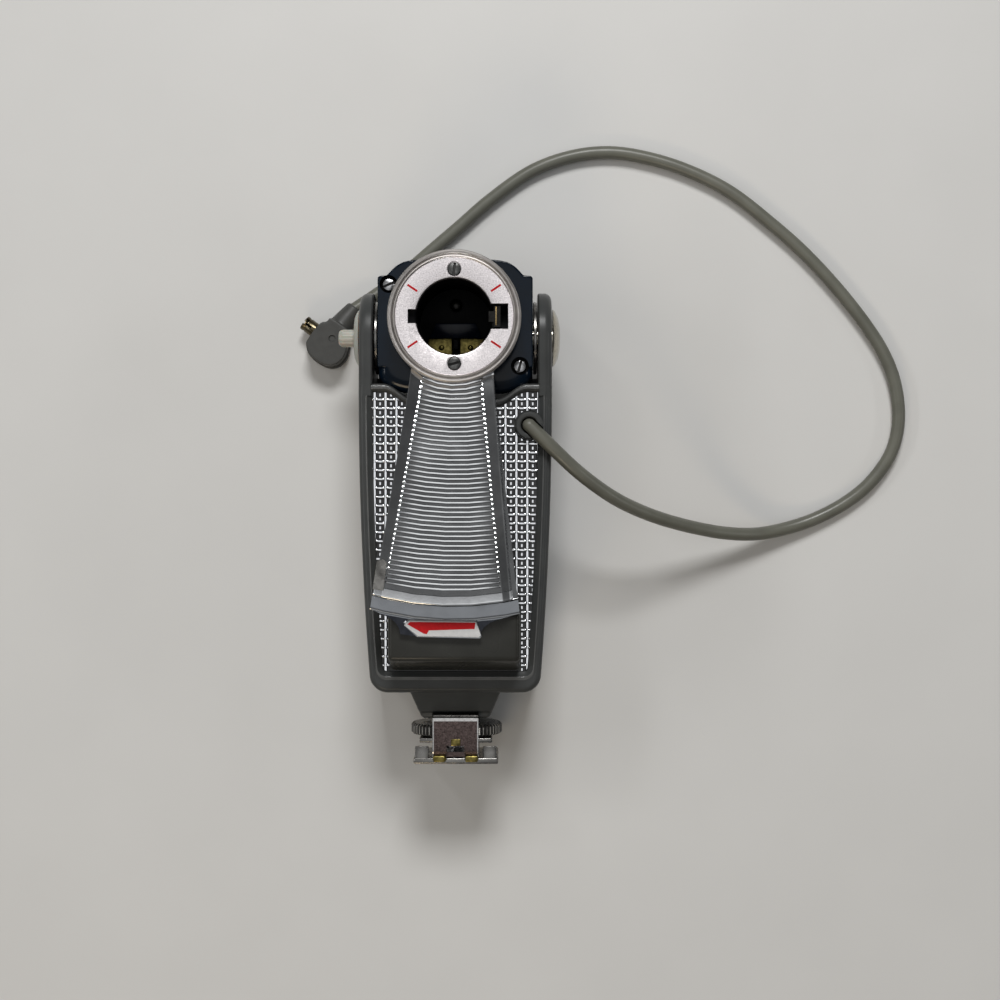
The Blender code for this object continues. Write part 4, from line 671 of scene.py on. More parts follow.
outline = case_loop(0, *PLATE_INSET)
plate = carved(mesh_from(waffle), prism(outline, 20, 40), operation="INTERSECT")
opening = block((-REST_HALF - REST_ROOM, -45, 20), (REST_HALF + REST_ROOM, REST_HEAD + REST_ROOM, 40))
plate = carved(plate, opening, bar(BUSH, BUSH_ROOM, 20, 40))
chrome = finish("bright_chrome", (0.74, 0.75, 0.77), 0.12, metallic=1, mottle=0.05, mottle_size=1.5,
                gloss_spread=0.04, grain=0.004, grain_size=0.4)
# Near black painted shade in the pits, below the tops of ridges and pips.
pit_shade = finish("painted_pit_shade", (0.016, 0.016, 0.017), 0.3, mottle=0.4, mottle_size=0.6)
pressed = mount("pressed_plate", plate, chrome, "gun_body", "chrome_sheet", "face_plate", crease=40)
touched(pressed, pit_shade, lambda middle, facing: middle.z < PLATE_LEVEL + PIT_SHADE_TOP)

# Rest block
# A grey moulded block glued through the plate to the case. The folded fan lies just clear of its
# top, and its lower face is drafted toward the foot.
REST_TOP = 39.4
REST_SEAT = 28.25
REST_FOOT = -34.0
REST_DRAFT = 3.0
profile = ((REST_HEAD, REST_SEAT), (REST_HEAD, REST_TOP), (REST_FOOT, REST_TOP),
           (REST_FOOT - REST_DRAFT, REST_SEAT))
rest = softened(prism(profile, -REST_HALF, REST_HALF, ALONG_X), 1.1, 4)
# The block takes a darker copy of the grey moulding: painted shade for the dimly lit foot end.
shaded_rest_grey = finish("rest_moulding_painted_shade", (0.025, 0.025, 0.022), 0.3, mottle=0.10, mottle_size=5,
                   gloss_spread=0.08, grain=0.006, grain_size=0.35, specular_ior_level=0.2)
mount("rest_block", rest, shaded_rest_grey, "gun_body", "grey_plastic", "fan_rest")

# Cord bush
# A grey moulded collar pressed into the case's front. It is open on one side, where the cord turns
# out of it and away from the case.
BUSH_PROFILE = (
    (1.75, 26.7), (1.75, 31.2), (1.95, 31.5), (2.3, 31.6), (2.75, 31.5), (3.02, 31.15), (3.1, 28.5),
    (2.6, 28.45), (2.6, 26.7),
)
BUSH_TURN = math.atan2(-0.69, 0.72)
CORD_GROOVE = ((0, -1.75, 28.6), (6, 1.75, 35))
collar = turned(BUSH_PROFILE, Matrix.Translation((*BUSH, 0)), 72, closed=True)
groove = block(*CORD_GROOVE)
groove.transform(Matrix.Translation((*BUSH, 0)) @ Matrix.Rotation(BUSH_TURN, 4, "Z"))
mount("cord_collar", carved(collar, groove), grey_plastic, "gun_body", "grey_plastic", "cord_bush")

# Foot
# A plated steel strap bent round the neck and screwed to it from behind, speckled on its face and
# with brass lugs at its bend. A stud through its web holds the shoe plate with two turned-up tabs.
STRAP_HALF = 5.05
STRAP_EDGE = 0.33
STRAP_LEVELS = (3.0, 26.2)
STRAP_THICK = 1.0
STRAP_TOPS = (-43.5, -47.5)
STRAP_BAND = 0.7
WEB_FOOT = -56.2
STRAP_BEND = 1.7
LUG = ((2.1, -57.15, 24.3), (4.9, -55.7, 26.15))
STRAP_NOTCH = ((-1.95, -60, 24), (1.95, -53.6, 28))
STRAP_SCREW = (0, -45.6)
RIVET = ((-1.0, -53.55, 25.9), (1.1, -52.1, 26.32))
SOLE_HALF = (9.3, 9.0)
SOLE_HEIGHTS = (-57.9, -56.5)
FOOT_LEVEL = 14.6
TAB = ((5.95, SOLE_HEIGHTS[0] + 0.7, FOOT_LEVEL + SOLE_HALF[1] - 0.75),
       (8.95, -54.0, FOOT_LEVEL + SOLE_HALF[1] - 0.15))


def strap_side(levels, web, bend, lip):
    """One side of the strap's section: round the lip, down the front, round both bends and up the back."""
    low, high = levels
    run = [(STRAP_TOPS[1] + lip - lip * fall, high - lip * (1 - rise)) for rise, fall in quarter(6)]
    run += [(STRAP_TOPS[1] - STRAP_BAND, high)]
    run += [(web + bend - bend * rise, high - bend * fall) for rise, fall in quarter(6)]
    run += [(web + bend * fall, low + bend - bend * rise) for rise, fall in quarter(6)]
    run += [(STRAP_TOPS[0], low)]
    return run


outer = strap_side(STRAP_LEVELS, WEB_FOOT, STRAP_BEND, 1.15)
inner = strap_side((STRAP_LEVELS[0] + STRAP_THICK, STRAP_LEVELS[1] - STRAP_THICK), WEB_FOOT + STRAP_THICK,
                   STRAP_BEND - STRAP_THICK, 0.15)
section = outer + inner[::-1]
stations = (-STRAP_HALF, STRAP_EDGE - STRAP_HALF, STRAP_HALF - STRAP_EDGE, STRAP_HALF)
strap = lofted([[ALONG_X @ Vector((y, z, x)) for y, z in section] for x in stations])
strap = carved(softened(strap, 0.1, 2), block(*STRAP_NOTCH), bar(STRAP_SCREW, 1.1, 2, 5, steps=20))
# Its sides and the band below its top lip are painted lighter: a painted highlight.
edge_highlight_plate = finish("edge_chrome_painted_highlight", (0.44, 0.43, 0.42), 0.2, metallic=1, mottle=0.2, mottle_size=0.5)
# Its face is speckled plating, painted dark as a painted reflection of dark surroundings.
speckled = finish("speckled_plate_painted_reflection", (0.085, 0.064, 0.060), 0.3, metallic=1, mottle=0.6, mottle_size=0.3,
                  gloss_spread=0.08, grain=0.03, grain_size=0.3)
foot_strap = mount("foot_strap", strap, speckled, "gun_body", "chrome_sheet", "foot_bracket")
touched(foot_strap, edge_highlight_plate, lambda middle, facing: abs(middle.x) > STRAP_HALF - STRAP_EDGE
        or middle.y > STRAP_TOPS[1] - STRAP_BAND)
dark_steel = finish("blackened_steel", (0.022, 0.021, 0.02), 0.3, metallic=1, mottle=0.3,
                    mottle_size=0.8)
# The top of the lip is painted near black: painted shade.
touched(foot_strap, dark_steel, lambda middle, facing: middle.y > STRAP_TOPS[1] - 0.05 and middle.z > 20)
dull_brass = finish("dull_brass", (0.17, 0.14, 0.045), 0.34, metallic=1, mottle=0.55, mottle_size=0.7,
                    gloss_spread=0.12, grain=0.02, grain_size=0.5)
lugs = [softened(block(*LUG, side), 0.35) for side in (-1, 1)]
mount("strap_lugs", together(softened(block(*RIVET), 0.15, 2), *lugs), dull_brass, "gun_body", "brass")
fit_screw("strap_fixing", "bracket_screw", "gun_body", steel, STRAP_SCREW, 2.7, 0.8, 1.45, 0.7, 3.5,
          flip=True)
sole = softened(block((-SOLE_HALF[0], SOLE_HEIGHTS[0], FOOT_LEVEL - SOLE_HALF[1]),
                      (SOLE_HALF[0], SOLE_HEIGHTS[1], FOOT_LEVEL + SOLE_HALF[1])), 0.35)
tabs = [softened(block(*TAB, side), 0.2, 2) for side in (-1, 1)]
sole = carved(sole, *tabs, operation="UNION")
dull_nickel = finish("dull_nickel", (0.19, 0.185, 0.175), 0.26, metallic=1, mottle=0.1, mottle_size=0.8)
mount("shoe_plate", sole, dull_nickel, "gun_body", "chrome_sheet", "foot_plate")
dress(steel, "clamp_stud")

# Clamp
# A thin plated plate on the stud, driven toward the shoe plate by a knurled steel wheel that is
# turned by the thumb at either side of the strap.
WHEEL_HEIGHTS = (-52.0, -49.6)
WHEEL_RADIUS = 10.1
WHEEL_TEETH = 60
WHEEL_CHAMFER = 0.4
KNURL_DEPTH = 0.45
CLAMP_HALF = 8.0
CLAMP_HEIGHTS = (-53.3, -52.3)
STUD_ROOM = 2.8
ALONG_Y = Matrix(((0, 1, 0, 0), (0, 0, 1, 0), (1, 0, 0, 0), (0, 0, 0, 1)))


def wheel_ring(height, drop):
    """One ring of the wheel's rim, with a flat and a groove for each tooth."""
    ring = []
    for i in range(4 * WHEEL_TEETH):
        reach = WHEEL_RADIUS - drop - (KNURL_DEPTH if i % 4 > 1 else 0)
        turn = 2 * math.pi * i / (4 * WHEEL_TEETH)
        ring.append(Vector((reach * math.sin(turn), height, FOOT_LEVEL + reach * math.cos(turn))))
    return ring


low, high = WHEEL_HEIGHTS
wheel = lofted([wheel_ring(low, WHEEL_CHAMFER), wheel_ring(low + WHEEL_CHAMFER, 0),
                wheel_ring(high - WHEEL_CHAMFER, 0), wheel_ring(high, WHEEL_CHAMFER)])
wheel = carved(wheel, bar((FOOT_LEVEL, 0), STUD_ROOM, low - 1, high + 1, ALONG_Y))
knurled = finish("knurled_steel", (0.40, 0.39, 0.36), 0.3, metallic=1, mottle=0.2, mottle_size=1.2,
                 gloss_spread=0.1)
thumb_wheel = mount("thumb_wheel", wheel, knurled, "clamp_wheel", "chrome_sheet", "clamp_wheel")
# Painted shade in the knurl's grooves.
touched(thumb_wheel, recess_shade, lambda middle, facing: abs(facing.y) < 0.5
        and math.hypot(middle.x, middle.z - FOOT_LEVEL) < WHEEL_RADIUS - 0.3 * KNURL_DEPTH)
# The wheel's face toward the head takes the darker dull nickel: painted shade.
touched(thumb_wheel, dull_nickel, lambda middle, facing: facing.y > 0.8)
clamp = block((-CLAMP_HALF, CLAMP_HEIGHTS[0], FOOT_LEVEL - CLAMP_HALF),
              (CLAMP_HALF, CLAMP_HEIGHTS[1], FOOT_LEVEL + CLAMP_HALF))
clamp = carved(softened(clamp, 0.25), bar((FOOT_LEVEL, 0), STUD_ROOM, -55, -50, ALONG_Y))
mount("clamp_jaw", clamp, dull_nickel, "clamp", "chrome_sheet", "clamp_plate")

# Head
# A glossy blue-black moulding in two halves, screwed together from the front. It swings between the
# arms on its drum-shaped lower part, has a domed top, and two cheeks bulge below the fan.
HUB = (0.0, 38.9)
HEAD_HALF = 16.8
HEAD_FRONT = 29.3
HEAD_BACK = 9.0
HEAD_SEAM = (12.0, 12.3)
HEAD_CHIN = 28.8
SHOULDER = (
    (16.8, 48.1), (16.4, 48.5), (14.8, 48.6), (14.45, 48.95), (13.9, 49.6), (13.2, 50.3), (12.3, 50.95),
    (11.2, 51.5), (9.8, 51.85), (8.0, 52.0),
)
HEAD_SIDE = (
    (24.0, 30.5), (24.0, 24.0), (30.0, HEAD_BACK), (46.5, HEAD_BACK), (52.5, 14.5), (52.5, 30.5),
)
HEAD_GRAIN = 0.22
DRUM_RADIUS = 10.75
CHEEK_X = (8.8, 16.7)
CHEEK_FOOT = (23.0, 27.5)
CHEEK_BACK = 24.6
CHEEK_ROUND = 2.4
CHEEK_MIDDLE = (10.0, 32.0)
SOCKET_ROOM = 11.7
HEAD_SCREWS = ((-14.4, 46.7), (14.0, 29.0))
HEAD_SCREW_TURNS = (0.4, 1.3)
NAVY_COLOUR = (0.0018, 0.0055, 0.0115)

half = [(HEAD_HALF, HEAD_CHIN), *SHOULDER]
dome = prism(half + [(-x, y) for x, y in reversed(half)], HEAD_BACK, HEAD_FRONT)
dome = carved(dome, prism(HEAD_SIDE, -20, 20, ALONG_X), operation="INTERSECT")
drum = carved(bar(PIVOT, DRUM_RADIUS, -HEAD_HALF, HEAD_HALF, ALONG_X, 64),
              block((-30, 0, 0), (30, 60, HEAD_FRONT - 0.2)), operation="INTERSECT")


def cheek(side):
    """A bulge below the head's front: its lower edge sweeps down and in, and its front rolls back."""
    edge = [(CHEEK_X[0] + (CHEEK_X[1] - CHEEK_X[0]) * rise,
             CHEEK_FOOT[1] - (CHEEK_FOOT[1] - CHEEK_FOOT[0]) * (1 - fall)) for rise, fall in quarter(10)]
    edge += [(CHEEK_X[1], 34.0), (4.0, 34.0), (4.0, CHEEK_FOOT[0] + 1.2), (6.4, CHEEK_FOOT[0] + 0.3)]
    middle = Vector(CHEEK_MIDDLE)
    loops = []
    sections = [(CHEEK_BACK, 2.2), (CHEEK_BACK + 1.4, 0.5), (HEAD_FRONT - CHEEK_ROUND, 0.0)]
    sections += [(HEAD_FRONT - CHEEK_ROUND + CHEEK_ROUND * rise, 1.5 * CHEEK_ROUND * fall)
                 for rise, fall in quarter(6)[1:]]
    for level, inset in sections:
        loop = [middle + (Vector(p) - middle) * (1 - inset / 9) for p in edge]
        loops.append([Vector((side * p.x, p.y, level)) for p in loop])
    return lofted(loops)


head = moulded(together(dome, drum, cheek(-1), cheek(1)), HEAD_GRAIN, 6)
room = [bar(HUB, SOCKET_ROOM, 14.6, 32, steps=72)]
room += [bar(centre, 1.95, 27.4, 32, steps=32) for centre in HEAD_SCREWS]
room += [bar(centre, 1.1, 8, 32, steps=20) for centre in HEAD_SCREWS]
room += [bar(PIVOT, PIVOT_BORES[0], -20, -10, ALONG_X), bar(PIVOT, PIVOT_BORES[1], 10, 20, ALONG_X)]
head = carved(head, *room)
front = carved(head.copy(), block((-30, 0, HEAD_SEAM[1]), (30, 80, 60)), operation="INTERSECT")
back = carved(head, block((-30, 0, -10), (30, 80, HEAD_SEAM[0])), operation="INTERSECT")
navy_plastic = finish("navy_moulding", NAVY_COLOUR, 0.16, mottle=0.15, mottle_size=3, gloss_spread=0.05,
                      grain=0.003, grain_size=0.5, specular_ior_level=0.2)
head_front = mount("head_front", front, navy_plastic, "head", "navy_plastic", "head_shell", crease=50)
# The recesses round the head screws are painted black: painted shade in their depth.
touched(head_front, black_plastic, lambda middle, facing: middle.z < 28.8
        and min(off_axis(middle, centre) for centre in HEAD_SCREWS) < 2.0)
mount("head_rear", back, navy_plastic, "head", "navy_plastic", "head_back", crease=50)
for name, centre, turn in zip(("head_screw_left", "head_screw_right"), HEAD_SCREWS, HEAD_SCREW_TURNS):
    fit_screw(name + "_fixing", name, "head", steel, centre, 27.6, 0.85, 1.4, turn, 15.0)

# Pivots
# Plated friction washers between the head and the arms. On the left a pale nylon bush carries the
# ejector's button, and on the right a domed plated cap closes the pivot.
LEFT_PIVOT = Matrix.Translation((0, *PIVOT)) @ Matrix.Rotation(-math.pi / 2, 4, "Y")
RIGHT_PIVOT = Matrix.Translation((0, *PIVOT)) @ Matrix.Rotation(math.pi / 2, 4, "Y")
WASHER = (
    (4.0, 17.1), (4.0, 17.68), (4.2, 17.75), (7.8, 17.75), (8.0, 17.6), (8.0, 17.2), (7.85, 17.05),
    (4.2, 17.05),
)
BUSH_SIDE = (
    (2.1, 15.1), (2.1, 22.35), (2.35, 22.55), (3.3, 22.52), (4.6, 22.35), (5.6, 21.95), (6.1, 21.6),
    (6.25, 21.35), (6.1, 21.3), (3.7, 21.3), (3.7, 15.1),
)
CAP_SIDE = (
    (0, 23.0), (2.5, 22.9), (4.5, 22.5), (5.7, 21.95), (6.25, 21.55), (6.4, 21.35), (6.2, 21.3), (3.0, 21.3),
    (3.0, 15.1), (0, 15.1),
)
for side, place in (("left", LEFT_PIVOT), ("right", RIGHT_PIVOT)):
    washer = turned(WASHER, place, closed=True)
    mount("washer_" + side, washer, dull_nickel, "head", "chrome_sheet", "friction_washer_" + side)
nylon = finish("pale_nylon", (0.34, 0.33, 0.29), 0.38, mottle=0.08, mottle_size=2,
               subsurface_weight=0.15)
mount("nylon_bush", turned(BUSH_SIDE, LEFT_PIVOT, closed=True), nylon, "head", "pale_plastic", "pivot_bush")
nickel = finish("cap_nickel", (0.52, 0.49, 0.42), 0.2, metallic=1, mottle=0.12, mottle_size=0.8)
mount("plated_cap", turned(CAP_SIDE, RIGHT_PIVOT), nickel, "head", "chrome_sheet", "pivot_cap")

# Bulb socket
# A black moulded tube let into the head, with a slot for the ejector's latch. On its floor are a
# stepped ledge, a dark centre pin, and two brass leaf contacts either side of an insulating post.
TUBE = ((8.15, 15.0), (8.15, 35.9), (8.45, 36.2), (11.1, 36.2), (11.4, 35.9), (11.4, 15.0))
LATCH_SLOT = ((4.0, 36.45, 14.0), (11.8, 41.35, 37.0))
LEDGE_SIDE = ((35.65, 18.3), (35.65, 21.1), (38.55, 21.85), (38.9, 21.85), (38.9, 18.3))
LEDGE_HALVES = (5.9, 4.3)
CONTACT = ((0.75, 31.6, 18.3), (6.3, 35.75, 20.35))
POST = ((-0.6, 33.2, 18.3), (0.6, 35.3, 21.5))
PIN = (0.0, 43.1)
PIN_PROFILE = ((0, 20.1), (0.8, 20.02), (1.2, 19.75), (1.4, 19.4), (1.4, 18.3), (0, 18.3))
CONTACT_STUD = ((0, 20.6), (0.35, 20.55), (0.6, 20.4), (0.7, 20.2), (0, 20.2))
STUD_PLACE = (3.2, 33.6)
WELL_RADIUS = 7.95

barrel = carved(turned(TUBE, Matrix.Translation((*HUB, 0)), 96, closed=True), block(*LATCH_SLOT))
mount("socket_barrel", barrel, black_plastic, "head", "black_plastic", "socket_tube")
dress(black_plastic, "contact_block")
foot_half, top_half = LEDGE_HALVES
taper = [(-foot_half, 35.5), (foot_half, 35.5), (top_half, 39.0), (-top_half, 39.0)]
ledge = carved(prism(LEDGE_SIDE, -7, 7, ALONG_X), prism(taper, 15, 25), operation="INTERSECT")
ledge_navy = finish("ledge_navy", (0.003, 0.0055, 0.014), 0.2, mottle=0.2, mottle_size=2,
                    specular_ior_level=0.2)
mount("stepped_ledge", softened(ledge, 0.12, 2), ledge_navy, "head", "navy_plastic", "adapter_ledge")
well = bar(HUB, WELL_RADIUS, 10, 30, steps=72)
for name, side in (("left", -1), ("right", 1)):
    stud = turned(CONTACT_STUD, Matrix.Translation((side * STUD_PLACE[0], STUD_PLACE[1], 0)), 24)
    contact = carved(softened(block(*CONTACT, side), 0.3), stud, operation="UNION")
    contact = carved(contact, well.copy(), operation="INTERSECT")
    mount("leaf_contact_" + name, contact, dull_brass, "head", "brass", "side_contact_" + name)
mount("insulating_post", softened(block(*POST), 0.2), black_plastic, "head", "black_plastic", "contact_post")
pin = turned(PIN_PROFILE, Matrix.Translation((*PIN, 0)), 40)
mount("centre_pin", pin, dark_steel, "head", "brass", "ground_pin")

# Ejector
# A pale fluted button in the left pivot pushes a blackened slide behind the socket. Its latch
# stands in the socket's slot and holds the bulb's pin, and a light coil spring returns it.
BUTTON_RADIUS = 1.95
BUTTON_ENDS = (14.8, 26.0)
BUTTON_ROUND = 1.2
BUTTON_STEPS = 96
FLUTES = 12
FLUTE_DEPTH = 0.05
LATCH_STRIP = ((8.72, 37.0, 36.9), (9.04, 41.0, 37.42))
SPRING_ENDS = (-13.18, -10.56)
SPRING_AXIS = (32.0, 19.0)
SPRING_RADIUS = 1.28
SPRING_WIRE = 0.18
SPRING_TURNS = 3.5
SPRING_STEPS = 84

loops = []
heights = [(BUTTON_ENDS[0], 1.0), (BUTTON_ENDS[1] - BUTTON_ROUND, 1.0)]
heights += [(BUTTON_ENDS[1] - BUTTON_ROUND + BUTTON_ROUND * rise, 1 - 0.42 * fall)
            for rise, fall in quarter(6)[1:]]
for height, size in heights:
    ring = []
    for i in range(BUTTON_STEPS):
        turn = 2 * math.pi * i / BUTTON_STEPS
        reach = BUTTON_RADIUS * size * (1 - FLUTE_DEPTH * (0.5 + 0.5 * math.cos(FLUTES * turn)) ** 2)
        ring.append(LEFT_PIVOT @ Vector((reach * math.cos(turn), reach * math.sin(turn), height)))
    loops.append(ring)
mount("fluted_button", lofted(loops), nylon, "ejector", "pale_plastic", "eject_button")
dress(dark_steel, "eject_slide")
coil = []
for i in range(SPRING_STEPS + 1):
    turn = 2 * math.pi * SPRING_TURNS * i / SPRING_STEPS
    out = Vector((0, math.cos(turn), math.sin(turn)))
    along = SPRING_ENDS[0] + (SPRING_ENDS[1] - SPRING_ENDS[0]) * i / SPRING_STEPS
    centre = Vector((along, *SPRING_AXIS)) + SPRING_RADIUS * out
    coil.append([centre + SPRING_WIRE * (math.cos(a) * out + math.sin(a) * Vector((1, 0, 0)))
                 for a in (math.pi * k / 5 for k in range(10))])
spring = mount("coil_spring", lofted(coil), steel, "head", "dark_steel", "eject_spring", crease=60)
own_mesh(spring)
mount("latch_edge", softened(block(*LATCH_STRIP), 0.12, 2), brass, "ejector", "brass")

# Bezel
# A satin silver ring turned from brass and plated, with a double polished rim. Two countersunk
# screws hold it on the tube, over the fan's eyes, and two notches let the bulb's pins in.
BEZEL = (
    (8.15, 36.5), (8.15, 37.8), (8.3, 38.02), (8.6, 38.1), (12.45, 38.1), (12.55, 38.3), (12.75, 38.42),
    (12.98, 38.36), (13.08, 38.2), (13.2, 38.36), (13.45, 38.62), (13.75, 38.66), (14.02, 38.5), (14.2, 38.1),
    (14.2, 36.5),
)
RIM_START = 12.5
PIN_NOTCH = ((-9.85, 37.4, 35), (0, 40.4, 40))
LATCH_NOTCH = ((0, 36.2, 35), (11.45, 41.6, 40))
BEZEL_SCREWS = ((0.0, 28.9), (0.0, 48.9))
BEZEL_SCREW_TURNS = (0.25, 1.45)
TICK = ((9.4, -0.22, 38.08), (11.9, 0.22, 38.13))
TICK_TURNS = (-34, 34, 146, 214)
TICK_COLOUR = (0.40, 0.005, 0.008)

ring = turned(BEZEL, Matrix.Translation((*HUB, 0)), 160, closed=True)
ring = carved(ring, block(*PIN_NOTCH), block(*LATCH_NOTCH),
              *(bar(centre, 1.63, 37.3, 40) for centre in BEZEL_SCREWS),
              *(bar(centre, 1.1, 35, 40, steps=20) for centre in BEZEL_SCREWS))
satin = finish("satin_silver", (0.78, 0.735, 0.74), 0.36, metallic=1, mottle=0.22, mottle_size=0.3,
               grain=0.03, grain_size=0.3)
rim_polish = finish("polished_rim", (0.36, 0.34, 0.325), 0.5, metallic=1, mottle=0.1, mottle_size=1.5)
bezel = mount("satin_bezel", ring, satin, "head", "satin_silver", "bezel_ring")
touched(bezel, rim_polish, lambda middle, facing: off_axis(middle, HUB) > RIM_START)
dull_steel = finish("dull_steel", (0.13, 0.13, 0.127), 0.3, metallic=1, mottle=0.3, mottle_size=0.5,
                    gloss_spread=0.1)
for name, centre, turn in zip(("bezel_screw_low", "bezel_screw_high"), BEZEL_SCREWS, BEZEL_SCREW_TURNS):
    fit_screw(name + "_fixing", name, "head", dull_steel, centre, 37.35, 0.8, 1.45, turn, 6.0)
ticks = []
for turn in TICK_TURNS:
    tick = block(*TICK)
    tick.transform(Matrix.Translation((*HUB, 0)) @ Matrix.Rotation(math.radians(turn), 4, "Z"))
    ticks.append(tick)
red_paint = finish("red_paint", TICK_COLOUR, 0.4, mottle=0.15, mottle_size=0.5, specular_ior_level=0.15)
mount("bezel_ticks", together(*ticks), red_paint, "head", "white_enamel")

# Fan leaves
# Thirteen leaves of thin plated steel on one hub, each pressed with close cross ribs and a raised
# rim, so that they nest when folded. The front leaf is fixed, and the rear one pulls the rest open.
LEAF_COUNT = 13
EYE = (11.8, 13.5)
LEAF_REACH = 60.9
LEAF_RIM_HALF = 14.3
LEAF_ROOT_HALF = 8.64
PULL_REACH = 64.3
PULL_RIM_HALF = 15.75
LEAF_SLOPE = math.tan(math.radians(12))
LEAF_SHEET = 0.12
LEAF_PITCH = 0.5
LEAF_REAR = 29.9
LEAF_TURN = math.radians(-2.2)
LEAF_STAGGER = math.radians(0.037)
RIB_START = 14.0
RIB_PITCH = 1.0
RIB_HEIGHT = 0.30
RIB_HALF = (5.9, 0.132)
FLAT_START = 15.0
FLAT_RUN = 4
RIM_BAND = 2.0
PULL_BAND = 3.1
MARGIN_WALL = 1.7
MARGIN_FALL = math.tan(math.radians(24))
MARGIN_RISE = math.tan(math.radians(15))
BEAD = ((0.0, 0.0), (0.24, 0.0), (0.36, 1.0), (0.65, 0.794), (0.78, 0.0))
BAND = ((0.0, 0.0), (0.07, 1.0), (0.79, 0.748), (0.80, 0.742), (0.93, 0.558), (1.0, 0.0))
TONGUE = ((0.35, 12.6), (0.8, 10.6), (1.6, 9.3), (2.6, 8.6), (3.7, 8.3))
TONGUE_SHIFT = -0.9
TONGUE_SLOPE = math.tan(math.radians(5))


def leaf_rows(reach, rim, tongue):
    """How far out each row across the leaf lies, and how high it is pressed there."""
    rows = [(EYE[0] + 0.4, 0.0), (EYE[1], 0.0)]
    count = int((reach - rim - RIB_START) / RIB_PITCH)
    for i in range(count):
        rows += [(RIB_START + RIB_PITCH * (i + share), RIB_HEIGHT * height) for share, height in BEAD]
    rows += [(reach - rim + rim * share, RIB_HEIGHT * height) for share, height in BAND]
    if tongue:
        rows += [(reach + further, 0.0) for further, half in TONGUE]
    return rows


def leaf_point(out, x, bow, level):
    """A point on the bare cone, which flattens past a level, in a row bowed by its own radius."""
    y = -out + bow - math.sqrt(max(bow ** 2 - x ** 2, 0))
    run = math.hypot(x, y) - EYE[1]
    return Vector((x, y, min(run, level) * LEAF_SLOPE + max(run - level, 0) * TONGUE_SLOPE))


def leaf_mesh(reach, rim_half, tongue=False):
    """One leaf: a flat eye, and a ribbed petal toward the foot with smooth margins."""
    def fill(shape):
        rows = []
        rim = PULL_BAND if tongue else RIM_BAND
        level = reach - rim - EYE[1] if tongue else reach
        for out, height in leaf_rows(reach, rim, tongue):
            share = held((out - EYE[1]) / (reach - EYE[1]))
            edge = LEAF_ROOT_HALF + (rim_half - LEAF_ROOT_HALF) * share
            shift = 0.0
            for further, half in TONGUE:
                if tongue and out > reach + further - 0.01:
                    edge = half
                    shift = TONGUE_SHIFT
            rib = min(RIB_HALF[0] + RIB_HALF[1] * (out - EYE[1]), edge - 1.5)
            band = out > reach - rim - 0.01
            raised = edge if band else rib
            flat = held((out - FLAT_START) / FLAT_RUN) * held((reach - rim - out) / FLAT_RUN)
            bow = out * (1 + 0.5 * flat)
            fade = 0 if tongue else held(out - EYE[1])
            fall = MARGIN_FALL * fade
            rise = MARGIN_RISE * fade
            wall = min(rib + 0.6 + MARGIN_WALL, edge - 0.3)
            columns = (-edge, 0.2 - edge, -rib - 0.6, -rib - 0.25, -rib - 0.12, -rib, -0.5 * rib, 0.0,
                       0.5 * rib, rib, rib + 0.12, rib + 0.25, rib + 0.6, wall, wall + 0.15, edge)
            row = []
            for x in columns:
                point = leaf_point(out, x + shift, bow, level)
                if abs(x) < raised + 0.01:
                    point.z += height
                elif abs(x) < rib + 0.13:
                    point.z += 0.8 * height
                point.z -= fall * min(max(x - rib - 0.6, 0), wall - rib - 0.6)
                point.z += rise * min(max(-x - rib - 0.6, 0), edge - 0.2 - rib - 0.6)
                row.append(shape.verts.new(point))
            rows.append(row)
        for a, b in zip(rows, rows[1:]):
            for i in range(len(a) - 1):
                shape.faces.new((a[i], b[i], b[i + 1], a[i + 1]))
        bmesh.ops.recalc_face_normals(shape, faces=shape.faces)
        if sum(face.normal.z for face in shape.faces) < 0:
            bmesh.ops.reverse_faces(shape, faces=shape.faces)

    petal = worked(mesh_from(fill), ("SOLIDIFY", {"thickness": LEAF_SHEET, "offset": -1}))
    petal.transform(Matrix.Translation((0, 0, LEAF_SHEET + 0.05)))
    section = ((EYE[0], 0), (EYE[0], LEAF_SHEET), (EYE[1], LEAF_SHEET), (EYE[1], 0))
    return together(petal, turned(section, steps=72, closed=True))


